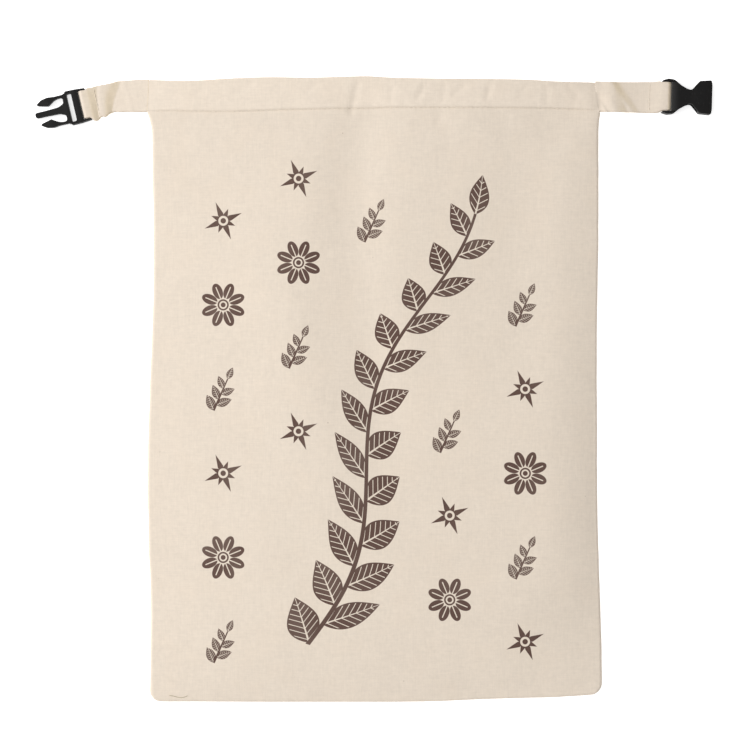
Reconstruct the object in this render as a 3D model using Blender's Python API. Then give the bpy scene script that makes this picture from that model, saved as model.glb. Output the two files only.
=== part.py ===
"""Cloth bread bag with a buckled roll-top, lying empty on its back.

Metres, +Z up, mouth towards +Y, front face up. The origin is on the surface the bag lies on, under the centre
of the whole object. The bag is one cloth, open at the mouth; a tab at each side of the mouth carries half a
buckle.
"""

import math

import bmesh
import bpy

# Bag outline. Each row: height up the bag, place of the left side, place of the right side.
SIDE_LINES = (
    (-0.2150, -0.1554, 0.1574),
    (-0.1594, -0.1541, 0.1567),
    (-0.1042, -0.1560, 0.1546),
    (-0.0490, -0.1561, 0.1538),
    (0.0062, -0.1548, 0.1537),
    (0.0614, -0.1527, 0.1538),
    (0.1166, -0.1526, 0.1550),
    (0.1718, -0.1530, 0.1552),
    (0.1856, -0.1533, 0.1548),
    (0.1925, -0.1552, 0.1541),
    (0.2022, -0.1550, 0.1532),
    (0.2140, -0.1547, 0.1524),
)
LEFT, RIGHT = 1, 2

# Lines that cross the bag. Each row: place across, height of the foot, of the hem's edge, of the mouth.
CROSS_LINES = (
    (-0.1560, -0.2150, 0.1920, 0.2132),
    (-0.1000, -0.2153, 0.1930, 0.2142),
    (-0.0200, -0.2153, 0.1944, 0.2160),
    (0.0350, -0.2153, 0.1950, 0.2153),
    (0.0950, -0.2135, 0.1949, 0.2137),
    (0.1560, -0.2108, 0.1925, 0.2118),
)
FOOT, HEM, MOUTH = 1, 2, 3

SIDE_REACH = 0.1550  # the sides lie about this far from the middle
CORNER_RADIUS = 0.0080  # lower corners of the bag
BODY_RISE = 0.4075  # from the foot to the hem's edge, about
HEM_DEPTH = 0.0210  # about

# Cloth
CLOTH = 0.0010  # one layer
HEM_EXTRA = 0.0007  # the turned hem is this much thicker
SEAM_INSET = 0.0024  # solid width of the side and foot seams
SEAM_ROUND = 0.0022  # rounding of the seamed edge
SEAM_HEIGHT = 0.0016  # height of the edge's middle above the surface
SEAM_TOP = 0.0032  # height of the front just inside the seam
LOFT = 0.0082  # height of the front over the middle of the bag
LOFT_RAMP = 0.0420  # the front climbs to it over this distance
RIM_ROUND = 0.0008  # rounding of the folded mouth edge

# Soft folds of the front. Each row: lift, half width, points along the fold.
FOLDS = (
    (-0.0006, 0.020, ((-0.017, 0.196), (-0.030, 0.144), (-0.041, 0.100), (-0.041, 0.030), (0.004, -0.084))),
    (0.0005, 0.011, ((0.001, 0.179), (-0.003, 0.096), (0.008, 0.041), (0.014, -0.008))),
    (-0.0004, 0.012, ((-0.051, -0.132), (-0.037, -0.180))),
    (0.0005, 0.010, ((0.117, -0.085), (0.128, -0.160))),
    (-0.0005, 0.009, ((0.138, 0.034), (0.141, -0.090), (0.146, -0.173))),
    (0.0003, 0.008, ((0.045, 0.192), (0.064, 0.112))),
    (-0.0003, 0.008, ((0.066, 0.192), (0.084, 0.118))),
    (0.0003, 0.008, ((0.090, 0.190), (0.112, 0.106))),
    (0.0003, 0.018, ((-0.112, 0.150), (-0.108, -0.080))),
)

# Mesh of the bag
EDGE_STEPS = (0.0, 0.0008, 0.0022, 0.0060, 0.0140, 0.0260)  # rows and columns crowd at a seam
MIDDLE_COLUMNS = 23
MIDDLE_ROWS = 31

GAP = 0.0003  # between pieces that touch

# Buckle plug, along its own axis from the ends of its rails
PLUG_HEIGHT = 0.0055
PLUG_ARM_LOW, PLUG_ARM_HIGH = 0.0009, 0.0046
PLUG_CROSSBAR_FRONT = 0.0156
PLUG_SLOT = (0.0099, 0.0134, 0.0099)  # near end, far end, half width
PLUG_BAR = (0.0004, 0.0034, 0.0021, 0.0037, 0.0106)  # near, far, low, high, half width

# Half outlines, mirrored about the axis. Each row: along the axis, across it, corner radius.
PLUG_FRAME = (
    (0.0055, 0.00985, 0.0004),
    (0.0000, 0.01020, 0.0002),
    (0.0000, 0.01100, 0.0004),
    (0.0070, 0.01160, 0.0030),
    (0.0139, 0.01175, 0.0007),
    (0.0143, 0.01050, 0.0003),
    (PLUG_CROSSBAR_FRONT, 0.01045, 0.0003),
)
PLUG_PRONGS = (
    (0.0142, 0.0101, 0.0),
    (0.0220, 0.0100, 0.0040),
    (0.0266, 0.0105, 0.0040),
    (0.0312, 0.0097, 0.0040),
    (0.0350, 0.0072, 0.0004),
    (0.0338, 0.0062, 0.0005),
    (0.0270, 0.0047, 0.0006),
    (0.0228, 0.0074, 0.0025),
    (0.0205, 0.0082, 0.0020),
    (0.0164, 0.0084, 0.0016),
    (0.0164, 0.0040, 0.0022),
    (0.0205, 0.0022, 0.0040),
    (0.0300, 0.00185, 0.0030),
    (0.0372, 0.00190, 0.0015),
)

# Buckle socket, along its own axis from the ends of its rails
SOCKET_HEIGHT = 0.0085
SOCKET_WALL = 0.0017  # top and bottom plates
SOCKET_CAVITY_START = 0.0125
SOCKET_CAVITY_HALF = 0.0099
SOCKET_BAR = (0.0012, 0.00455, 0.0032, 0.0056, 0.0108)  # near, far, low, high, half width
SOCKET_OUTLINE = (
    (0.0066, 0.01020, 0.0004),
    (0.0000, 0.01030, 0.0002),
    (0.0000, 0.01090, 0.0004),
    (0.0036, 0.01205, 0.0030),
    (0.0078, 0.01180, 0.0040),
    (0.0122, 0.00850, 0.0060),
    (0.0163, 0.00600, 0.0060),
    (0.0200, 0.00480, 0.0026),
    (0.0258, 0.01125, 0.0012),
    (0.0340, 0.01190, 0.0007),
    (0.0345, 0.00900, 0.0100),
)

# Tabs. Distances run from the side seam along the tab.
TAB_THICKNESS = 0.0015
TAB_RETURN = 0.0130  # length of the end stitched back under the tab
TAB_REST = 0.0002  # clearance under the tab where it lies down
# Each row: distance, width.
LEFT_WIDTHS = ((0.0, 0.0216), (0.020, 0.0208), (0.034, 0.0222), (0.041, 0.0198), (0.0446, 0.0190), (0.06, 0.0190))
RIGHT_WIDTHS = ((0.0, 0.0196), (0.02, 0.0200), (0.034, 0.0208), (0.043, 0.0202), (0.0468, 0.0196), (0.06, 0.0196))
TABS = {
    "left": dict(
        side=-1,
        column=LEFT,
        centre=0.2022,
        length=0.0431,
        bend=math.radians(13.2),
        bend_at=0.0205,
        bend_over=0.0120,
        widths=LEFT_WIDTHS,
        bar=PLUG_BAR,
        settles=0.0255,  # from here to the seam the tab lies down
        crease=(0.0006, 0.0026, 0.0212, -0.25),  # lift, half width, place on the centre line, slant
    ),
    "right": dict(
        side=1,
        column=RIGHT,
        centre=0.2022,
        length=0.0454,
        bend=math.radians(2.0),
        bend_at=0.0300,
        bend_over=0.0200,
        widths=RIGHT_WIDTHS,
        bar=SOCKET_BAR,
        settles=0.0240,
        crease=(0.0008, 0.0045, 0.0140, -0.45),
    ),
}
TAB_STEP = 0.0024  # spacing of the sections along a tab
TAB_TURN_STEPS = 8  # sections round the bar
TAB_COLUMNS = ((-1.0, 0.45), (-0.95, 1.0), (-0.5, 1.0), (0.0, 1.0), (0.5, 1.0), (0.95, 1.0), (1.0, 0.45))

BEVEL_STEPS = 2
ARC_STEP = math.radians(24)  # corner arcs turn this far for each point

# Base colour, roughness
CLOTH_FINISH = ((0.783, 0.694, 0.578), 0.90)
TAB_FINISH = ((0.800, 0.710, 0.590), 0.90)
PLASTIC_FINISH = ((0.0185, 0.0180, 0.0180), 0.42)


def clear_scene():
    for obj in list(bpy.data.objects):
        bpy.data.objects.remove(obj, do_unlink=True)


def smooth(share):
    """0 to 1 with level ends."""
    share = min(max(share, 0.0), 1.0)
    return share * share * (3.0 - 2.0 * share)


def quarter(share):
    """Quarter-round rise from 0 to 1."""
    share = min(max(share, 0.0), 1.0)
    return math.sqrt(1.0 - (1.0 - share) ** 2)


def along(rows, at, column):
    """The column's value at a place, on a smooth curve through the rows."""
    at = min(max(at, rows[0][0]), rows[-1][0])
    last = len(rows) - 1
    i = max(k for k in range(last) if rows[k][0] <= at)
    a, b = rows[i], rows[i + 1]
    before, after = rows[max(i - 1, 0)], rows[min(i + 2, last)]
    step = b[0] - a[0]
    slope_a = (b[column] - before[column]) / (b[0] - before[0])
    slope_b = (after[column] - a[column]) / (after[0] - a[0])
    t = (at - a[0]) / step
    rise = t * t * (3.0 - 2.0 * t)
    lead_in = t * (1.0 - t) ** 2 * step * slope_a
    lead_out = t * t * (1.0 - t) * step * slope_b
    return a[column] + (b[column] - a[column]) * rise + lead_in - lead_out


def material(name, finish):
    colour, roughness = finish
    made = bpy.data.materials.new(name)
    made.use_nodes = True
    shader = made.node_tree.nodes["Principled BSDF"]
    shader.inputs["Base Color"].default_value = (*colour, 1.0)
    shader.inputs["Roughness"].default_value = roughness
    shader.inputs["Metallic"].default_value = 0.0
    return made


def add_object(name, bm, parent=None, finish=None, sharp=math.radians(35)):
    """Makes the object of a finished bmesh, shaded smooth but for its sharp edges."""
    bmesh.ops.recalc_face_normals(bm, faces=bm.faces[:])
    mesh = bpy.data.meshes.new(name)
    bm.to_mesh(mesh)
    bm.free()
    mesh.shade_smooth()
    mesh.set_sharp_from_angle(angle=sharp)
    obj = bpy.data.objects.new(name, mesh)
    bpy.context.scene.collection.objects.link(obj)
    obj.parent = parent
    if finish:
        mesh.materials.append(finish)
    return obj


# Bag


def fold_lift(x, y):
    """Height that the folds add to the front at a place."""
    lift = 0.0
    for height, half_width, points in FOLDS:
        nearest = min(segment_distance(x, y, *a, *b) for a, b in zip(points, points[1:]))
        lift += height * math.exp(-((nearest / half_width) ** 2))
    return lift


def segment_distance(x, y, ax, ay, bx, by):
    dx, dy = bx - ax, by - ay
    t = ((x - ax) * dx + (y - ay) * dy) / (dx * dx + dy * dy)
    t = min(max(t, 0.0), 1.0)
    return math.hypot(x - ax - t * dx, y - ay - t * dy)


def columns():
    """Each column of the bag: steps in from the left, steps in from the right, share between those."""
    found = [(step, 0.0, 0.0) for step in EDGE_STEPS]
    found += [(EDGE_STEPS[-1], EDGE_STEPS[-1], k / MIDDLE_COLUMNS) for k in range(1, MIDDLE_COLUMNS)]
    found += [(0.0, step, 1.0) for step in reversed(EDGE_STEPS)]
    return found


def levels():
    """Heights of the bag's rows: 0 at the foot, 1 at the hem's edge, 2 at the mouth."""
    found = [step / BODY_RISE for step in EDGE_STEPS]
    start, stop = found[-1], 1.0 - 0.006 / BODY_RISE
    found += [start + (stop - start) * k / MIDDLE_ROWS for k in range(1, MIDDLE_ROWS + 1)]
    found += [1.0 - 0.0030 / BODY_RISE, 1.0 - 0.0010 / BODY_RISE, 1.0 + 0.0002 / HEM_DEPTH]
    found += [1.35, 1.70, 2.0 - RIM_ROUND / HEM_DEPTH]
    return found


def row_height(level, x, inset):
    """y of a row at this place across the bag."""
    foot = along(CROSS_LINES, x, FOOT) + inset
    hem = along(CROSS_LINES, x, HEM)
    mouth = along(CROSS_LINES, x, MOUTH)
    if level <= 1.0:
        return foot + (hem - foot) * level
    return hem + (mouth - hem) * (level - 1.0)


def bag_place(level, column, inset):
    """x, y and the distances in from the side and from the foot, on a skin this far inside the outline."""
    from_left, from_right, share = column
    above_foot = level * BODY_RISE
    reach = max(CORNER_RADIUS - above_foot, 0.0)
    corner = CORNER_RADIUS - math.sqrt(CORNER_RADIUS**2 - reach**2)
    left = along(SIDE_LINES, row_height(level, -SIDE_REACH, inset), LEFT) + corner + inset
    right = along(SIDE_LINES, row_height(level, SIDE_REACH, inset), RIGHT) - corner - inset
    if share == 0.0:
        x = left + from_left
        in_from_side = from_left
    elif share == 1.0:
        x = right - from_right
        in_from_side = from_right
    else:
        x = left + from_left + (right - from_right - left - from_left) * share
        in_from_side = min(x - left, right - x)
    return x, row_height(level, x, inset), in_from_side, above_foot


def hem_share(level):
    return 1.0 if level > 1.0 else 0.0


def front_height(x, y, level, in_from_side, in_from_foot):
    """Height of the front's outer face."""
    rounding = quarter(in_from_side / SEAM_ROUND) * quarter(in_from_foot / SEAM_ROUND)
    loft = smooth((in_from_side - SEAM_ROUND) / LOFT_RAMP) * smooth((in_from_foot - SEAM_ROUND) / LOFT_RAMP)
    height = SEAM_HEIGHT + (SEAM_TOP - SEAM_HEIGHT) * rounding
    height += (LOFT - SEAM_TOP) * loft
    height += fold_lift(x, y) * smooth(in_from_side / 0.012) * smooth(in_from_foot / 0.012)
    return height + HEM_EXTRA * hem_share(level) * rounding


def outer_points(level, column):
    """Front and back points of the outer skin."""
    x, y, side, foot = bag_place(level, column, 0.0)
    front = front_height(x, y, level, side, foot)
    back = SEAM_HEIGHT * (1.0 - quarter(side / SEAM_ROUND) * quarter(foot / SEAM_ROUND))
    return (x, y, front), (x, y, back)


def inner_points(level, column):
    """Front and back points of the inner skin, which meet along the seams."""
    x, y, side, foot = bag_place(level, column, SEAM_INSET)
    wall = CLOTH + HEM_EXTRA * hem_share(level)
    under_front = front_height(x, y, level, side + SEAM_INSET, foot + SEAM_INSET) - wall
    open_front = smooth(side / 0.0030) * smooth(foot / 0.0030)
    open_back = smooth(side / 0.0015) * smooth(foot / 0.0015)
    front = SEAM_HEIGHT + (under_front - SEAM_HEIGHT) * open_front
    back = SEAM_HEIGHT + (wall - SEAM_HEIGHT) * open_back
    return (x, y, front), (x, y, back)


def skin(bm, points_of):
    """Front and back sheets that share the points of their sides and foot. Returns the upper row's loop."""
    front_rows, back_rows = [], []
    all_columns = columns()
    last = len(all_columns) - 1
    for row, level in enumerate(levels()):
        front, back = [], []
        for place, column in enumerate(all_columns):
            front_at, back_at = points_of(level, column)
            front.append(bm.verts.new(front_at))
            shared = row == 0 or place in (0, last)
            back.append(front[-1] if shared else bm.verts.new(back_at))
        front_rows.append(front)
        back_rows.append(back)
    for rows in (front_rows, back_rows):
        for lower, upper in zip(rows, rows[1:]):
            for k in range(last):
                bm.faces.new((lower[k], lower[k + 1], upper[k + 1], upper[k]))
    return front_rows[-1] + back_rows[-1][-2:0:-1]


def join_loops(bm, first, second):
    for k in range(len(first)):
        after = (k + 1) % len(first)
        bm.faces.new((first[k], first[after], second[after], second[k]))


def build_bag(parent, finish):
    bm = bmesh.new()
    outer = skin(bm, outer_points)
    inner = skin(bm, inner_points)
    rim = []
    for a, b in zip(outer, inner):
        x = (a.co.x + b.co.x) / 2
        rim.append(bm.verts.new((x, along(CROSS_LINES, x, MOUTH), (a.co.z + b.co.z) / 2)))
    join_loops(bm, outer, rim)
    join_loops(bm, rim, inner)
    return add_object("bag_body", bm, parent, finish)


# Tabs


def tab_place(tab, distance, across):
    """World x and y of a place on the tab: distance from the side seam, and across towards the mouth."""
    side, bend, over = tab["side"], tab["bend"], tab["bend_over"]
    start = tab["bend_at"] - over / 2
    turned = min(max((distance - start) / over, 0.0), 1.0)
    angle = bend * turned
    radius = over / bend
    forward = min(distance, start) + radius * math.sin(angle)
    drop = radius * (1.0 - math.cos(angle))
    beyond = max(distance - start - over, 0.0)
    forward += beyond * math.cos(angle)
    drop += beyond * math.sin(angle)
    root = along(SIDE_LINES, tab["centre"], tab["column"]) + side * GAP
    y = tab["centre"] - drop + across * math.cos(angle)
    x = root + side * (forward + across * math.sin(angle))
    seam = along(SIDE_LINES, y, tab["column"]) + side * GAP
    return x + (seam - root) * (1.0 - smooth(distance / 0.008)), y


def tab_path(tab):
    """The tab's middle line: out, round the bar and back. Each row: distance, height."""
    half = TAB_THICKNESS / 2
    end = tab["length"]
    near, far, low, high, _ = tab["bar"]
    lying = TAB_REST + half
    stacked = lying + TAB_THICKNESS + GAP
    turn_radius = (high - low) / 2 + GAP + half
    turn_at = end + far - (high - low) / 2
    middle = (low + high) / 2
    out = (
        (0.0, SEAM_HEIGHT),
        (0.010, lying + 0.0002),
        (tab["settles"] - 0.0030, lying),
        (tab["settles"], lying + 0.0003),
        (end - TAB_RETURN, stacked + 0.0004),
        (end + near - 0.003, middle + turn_radius - 0.0001),
        (turn_at, middle + turn_radius),
    )
    back = (
        (end - TAB_RETURN, lying),
        (end - 0.006, (lying + middle - turn_radius) / 2),
        (end + near - 0.001, middle - turn_radius),
        (turn_at, middle - turn_radius),
    )
    path = []
    count = round(turn_at / TAB_STEP)
    for k in range(count):
        distance = turn_at * k / count
        path.append((distance, along(out, distance, 1)))
    for k in range(TAB_TURN_STEPS + 1):
        angle = math.pi / 2 - math.pi * k / TAB_TURN_STEPS
        path.append((turn_at + turn_radius * math.cos(angle), middle + turn_radius * math.sin(angle)))
    count = round((turn_at - back[0][0]) / TAB_STEP)
    for k in range(1, count + 1):
        distance = turn_at + (back[0][0] - turn_at) * k / count
        path.append((distance, along(back, distance, 1)))
    return path


def crease_lift(tab, distance, across):
    lift, half_width, place, slant = tab["crease"]
    return lift * math.exp(-(((distance - place - slant * across) / half_width) ** 2))


def build_tab(tab, name, parent, finish):
    bm = bmesh.new()
    path = tab_path(tab)
    furthest = max(range(len(path)), key=lambda k: path[k][0])
    loops = []
    for k, (distance, height) in enumerate(path):
        before, after = path[max(k - 1, 0)], path[min(k + 1, len(path) - 1)]
        run, rise = after[0] - before[0], after[1] - before[1]
        length = math.hypot(run, rise)
        normal = (-rise / length, run / length)
        width = along(tab["widths"], distance, 1) - (0.0008 if k > furthest else 0.0)
        section = [(a, t) for a, t in TAB_COLUMNS] + [(a, -t) for a, t in reversed(TAB_COLUMNS)]
        loop = []
        for across_share, thickness_share in section:
            across = across_share * width / 2
            offset = thickness_share * TAB_THICKNESS / 2
            at = distance + normal[0] * offset
            x, y = tab_place(tab, max(at, 0.0), across)
            lift = crease_lift(tab, distance, across) if k < furthest else 0.0
            loop.append(bm.verts.new((x, y, height + normal[1] * offset + lift)))
        loops.append(loop)
    for first, second in zip(loops, loops[1:]):
        join_loops(bm, first, second)
    bm.faces.new(loops[0])
    bm.faces.new(reversed(loops[-1]))
    return add_object(name, bm, parent, finish, sharp=math.radians(50))


# Buckle halves


def rounded(corners):
    """A closed outline with its corners turned into arcs. Each row: x, y, radius."""
    points = []
    for k, (x, y, radius) in enumerate(corners):
        ax, ay, _ = corners[k - 1]
        bx, by, _ = corners[(k + 1) % len(corners)]
        to_a, to_b = math.atan2(ay - y, ax - x), math.atan2(by - y, bx - x)
        between = abs((to_b - to_a + math.pi) % (2 * math.pi) - math.pi)
        turn = math.pi - between
        if radius <= 0.0 or turn < math.radians(3):
            points.append((x, y))
            continue
        reach = radius / math.tan(between / 2)
        reach = min(reach, 0.48 * math.hypot(ax - x, ay - y), 0.48 * math.hypot(bx - x, by - y))
        radius = reach * math.tan(between / 2)
        start = (x + reach * math.cos(to_a), y + reach * math.sin(to_a))
        stop = (x + reach * math.cos(to_b), y + reach * math.sin(to_b))
        middle = math.atan2(math.sin(to_a) + math.sin(to_b), math.cos(to_a) + math.cos(to_b))
        away = radius / math.sin(between / 2)
        cx, cy = x + away * math.cos(middle), y + away * math.sin(middle)
        from_angle = math.atan2(start[1] - cy, start[0] - cx)
        to_angle = math.atan2(stop[1] - cy, stop[0] - cx)
        sweep = (to_angle - from_angle + math.pi) % (2 * math.pi) - math.pi
        count = max(1, math.ceil(turn / ARC_STEP))
        for step in range(count + 1):
            angle = from_angle + sweep * step / count
            points.append((cx + radius * math.cos(angle), cy + radius * math.sin(angle)))
    return points


def mirrored(half):
    """The whole outline of a half outline, mirrored about the axis."""
    return rounded(list(half) + [(x, -y, radius) for x, y, radius in reversed(half)])


def rectangle(x0, x1, y0, y1, radius):
    return rounded([(x0, y0, radius), (x1, y0, radius), (x1, y1, radius), (x0, y1, radius)])


def plate(name, outline, low, high, holes=(), parent=None, finish=None, edge=0.0):
    """A flat plate of this outline with holes, its edges rounded by a Bevel modifier."""
    bm = bmesh.new()
    edges = []
    for loop in (outline, *holes):
        corners = [bm.verts.new((x, y, low)) for x, y in loop]
        edges += [bm.edges.new((a, b)) for a, b in zip(corners, corners[1:] + corners[:1])]
    bmesh.ops.triangle_fill(bm, edges=edges, use_beauty=True, use_dissolve=False)
    raised = bmesh.ops.extrude_face_region(bm, geom=bm.faces[:])["geom"]
    for item in raised:
        if isinstance(item, bmesh.types.BMVert):
            item.co.z = high
    obj = add_object(name, bm, parent, finish)
    if edge:
        bevel = obj.modifiers.new("rounded_edges", "BEVEL")
        bevel.width = edge
        bevel.segments = BEVEL_STEPS
        bevel.limit_method = "ANGLE"
        bevel.angle_limit = math.radians(50)
    return obj


def end_bar(name, bar, parent):
    """The bar that the tab goes round: a stadium section across the buckle."""
    near, far, low, high, half_width = bar
    section = rectangle(near, far, low, high, (high - low) * 0.49)
    obj = plate(name, section, -half_width, half_width, parent=parent)
    obj.rotation_euler.x = math.pi / 2
    return obj


def combine(obj, helper, operation):
    """Adds a helper to the object or cuts it away. The helper itself isn't part of the model."""
    helper.hide_render = True
    helper.display_type = "WIRE"
    change = obj.modifiers.new(helper.name, "BOOLEAN")
    change.operation = operation
    change.solver = "EXACT"
    change.object = helper


def put_on_tab(obj, tab):
    """Places a buckle half with its axis along the end of its tab."""
    x, y = tab_place(tab, tab["length"], 0.0)
    ahead_x, ahead_y = tab_place(tab, tab["length"] + 0.01, 0.0)
    obj.location = (x, y, 0.0)
    obj.rotation_euler.z = math.atan2(ahead_y - y, ahead_x - x)


def build_plug(parent, finish):
    near, far, half_width = PLUG_SLOT
    slot = rectangle(near, far, -half_width, half_width, 0.0012)
    plug = plate("buckle_plug", mirrored(PLUG_FRAME), 0.0, PLUG_HEIGHT, (slot,), parent, finish, edge=0.0004)
    prongs = plate("prongs", mirrored(PLUG_PRONGS), PLUG_ARM_LOW, PLUG_ARM_HIGH, parent=plug, edge=0.0005)
    combine(plug, prongs, "UNION")
    combine(plug, end_bar("plug_bar", PLUG_BAR, plug), "UNION")
    put_on_tab(plug, TABS["left"])
    return plug


def build_socket(parent, finish):
    outline = mirrored(SOCKET_OUTLINE)
    socket = plate("buckle_socket", outline, 0.0, SOCKET_HEIGHT, (), parent, finish, edge=0.0007)
    beyond_mouth = SOCKET_OUTLINE[-1][0] + 0.002
    hollow = rectangle(SOCKET_CAVITY_START, beyond_mouth, -SOCKET_CAVITY_HALF, SOCKET_CAVITY_HALF, 0.0008)
    cavity = plate("cavity", hollow, SOCKET_WALL, SOCKET_HEIGHT - SOCKET_WALL, parent=socket)
    combine(socket, cavity, "DIFFERENCE")
    combine(socket, end_bar("socket_bar", SOCKET_BAR, socket), "UNION")
    put_on_tab(socket, TABS["right"])
    return socket


def main():
    clear_scene()
    cloth = material("body_cloth", CLOTH_FINISH)
    tab_cloth = material("tab_cloth", TAB_FINISH)
    plastic = material("buckle_plastic", PLASTIC_FINISH)
    whole = bpy.data.objects.new("bread_bag", None)
    bpy.context.scene.collection.objects.link(whole)
    build_bag(whole, cloth)
    for name, tab in TABS.items():
        build_tab(tab, f"strap_{name}", whole, tab_cloth)
    build_plug(whole, plastic)
    build_socket(whole, plastic)


if __name__ == "__main__":
    main()
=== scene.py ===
"""Looks of a cloth bread bag with a buckled roll-top, lying empty on its back.

The file is laid out as an add-on and run as a script. Each piece is made by its own operator around the
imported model. Metres, +Z up, mouth towards +Y, front face up, origin on the surface the bag lies on.
"""

import math

import bmesh
import bpy
from bpy.props import FloatProperty, FloatVectorProperty, IntProperty, PointerProperty
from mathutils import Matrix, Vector, noise


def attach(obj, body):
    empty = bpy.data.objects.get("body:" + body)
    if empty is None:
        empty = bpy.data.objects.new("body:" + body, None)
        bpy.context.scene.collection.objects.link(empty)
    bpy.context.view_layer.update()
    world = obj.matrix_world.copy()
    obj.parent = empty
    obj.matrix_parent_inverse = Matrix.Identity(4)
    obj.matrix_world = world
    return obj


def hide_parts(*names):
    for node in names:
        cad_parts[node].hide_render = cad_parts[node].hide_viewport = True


bl_info = {
    "name": "Cloth Bread Bag",
    "version": (1, 0, 0),
    "blender": (4, 5, 0),
    "location": "View3D > Sidebar > Bread Bag",
    "description": "Dresses the bread bag model with cloth, print, stitching, buckle halves and a studio",
    "category": "Object",
}

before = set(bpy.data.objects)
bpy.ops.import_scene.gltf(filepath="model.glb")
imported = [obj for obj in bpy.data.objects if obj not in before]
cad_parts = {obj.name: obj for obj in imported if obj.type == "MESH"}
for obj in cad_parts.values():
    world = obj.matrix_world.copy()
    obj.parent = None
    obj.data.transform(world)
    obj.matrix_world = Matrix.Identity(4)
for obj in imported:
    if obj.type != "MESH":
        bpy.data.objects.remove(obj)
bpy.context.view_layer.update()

BODY = "root"

# Bag outline. Each row: height up the bag, place of the left side, place of the right side.
SIDE_LINES = (
    (-0.2150, -0.1552, 0.1576),
    (-0.1735, -0.1545, 0.1571),
    (-0.1420, -0.1545, 0.1560),
    (-0.1112, -0.1558, 0.1550),
    (-0.0698, -0.1565, 0.1541),
    (-0.0283, -0.1561, 0.1541),
    (0.0132, -0.1546, 0.1539),
    (0.0546, -0.1530, 0.1541),
    (0.0961, -0.1525, 0.1549),
    (0.1376, -0.1530, 0.1550),
    (0.1721, -0.1536, 0.1550),
    (0.1790, -0.1538, 0.1551),
    (0.1859, -0.1551, 0.1555),
    (0.1905, -0.1567, 0.1561),
    (0.1950, -0.1564, 0.1545),
    (0.2022, -0.1559, 0.1534),
    (0.2140, -0.1554, 0.1524),
)
LEFT, RIGHT = 1, 2

# Lines that cross the bag. Each row: place across, height of the foot, of the hem's edge, of the mouth.
CROSS_LINES = (
    (-0.1560, -0.2160, 0.1920, 0.2137),
    (-0.1407, -0.2160, 0.1920, 0.2131),
    (-0.1241, -0.2160, 0.1916, 0.2130),
    (-0.0995, -0.2161, 0.1914, 0.2144),
    (-0.0745, -0.2162, 0.1921, 0.2152),
    (-0.0414, -0.2162, 0.1930, 0.2149),
    (-0.0200, -0.2162, 0.1934, 0.2155),
    (-0.0040, -0.2162, 0.1936, 0.2157),
    (0.0120, -0.2162, 0.1939, 0.2148),
    (0.0413, -0.2158, 0.1939, 0.2141),
    (0.0743, -0.2144, 0.1939, 0.2139),
    (0.1074, -0.2134, 0.1937, 0.2133),
    (0.1240, -0.2130, 0.1935, 0.2123),
    (0.1560, -0.2110, 0.1926, 0.2118),
)
FOOT, HEM, MOUTH = 1, 2, 3

SIDE_REACH = 0.1550  # the sides lie about this far from the middle
CORNER_RADIUS = 0.0080
BODY_RISE = 0.4075  # from the foot to the hem's edge, about
HEM_DEPTH = 0.0210

# Seams and foot
SEAM_INSET = 0.0024
SEAM_ROUND = 0.0022
SEAM_HEIGHT = 0.0016
SEAM_TOP = 0.0032
SEAM_OPENS = (0.0030, 0.0015)  # inside, the front and the back part from each other over these lengths
FOOT_RISE = 0.0650  # the front rises from the foot over this length

# Where the tabs are sewn in
ROOT_SPAN = (0.1905, 0.2140)  # between these heights up the bag
ROOT_SPAN_ENDS = (0.0015, 0.0008)
ROOT_TOP = 0.0030  # height of the cloth there
ROOT_ROUND = {-1: 0.0120, 1: 0.0046}  # by side: the cloth falls towards the tab over twice this length

# Hem
HEM_EXTRA = 0.0007  # the turned hem is this much thicker
HEM_THINS_OVER = 0.0300  # and half of that at its ends
HEM_STEP = (-0.0003, 0.0010)  # the step up to it starts here, and is this long
HEM_SWELL = (0.00030, 0.0022, 0.0013)  # height, distance above the hem's edge, half width
HEM_SHADE = (0.0005, 0.75, 0.5, 0.0190, 6.6)  # half width, strength, its change along the hem, size, seed
HEM_DOUBLED = (0.0002, 0.0008)  # the cloth turns paler from here above the hem's edge, over this length
RIM_ROUND = 0.0008

# The front rises from the sides over these lengths. Each row: height up the bag, on the left, on the right,
# and the share of the rise that is made there on the right. The rest is made over WIDE_RISE.
SIDE_RISES = (
    (-0.2150, 0.1200, 0.1000, 1.0),
    (-0.1700, 0.1300, 0.0800, 1.0),
    (-0.1300, 0.1400, 0.0420, 1.0),
    (-0.0300, 0.1500, 0.0360, 0.92),
    (0.0100, 0.1500, 0.0360, 0.72),
    (0.0400, 0.1500, 0.0360, 0.56),
    (0.0900, 0.1800, 0.0360, 0.40),
    (0.1400, 0.2600, 0.0360, 0.26),
    (0.1900, 0.4500, 0.0360, 0.28),
    (0.2160, 0.4800, 0.0360, 0.28),
)
WIDE_RISE = 0.1500

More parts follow.
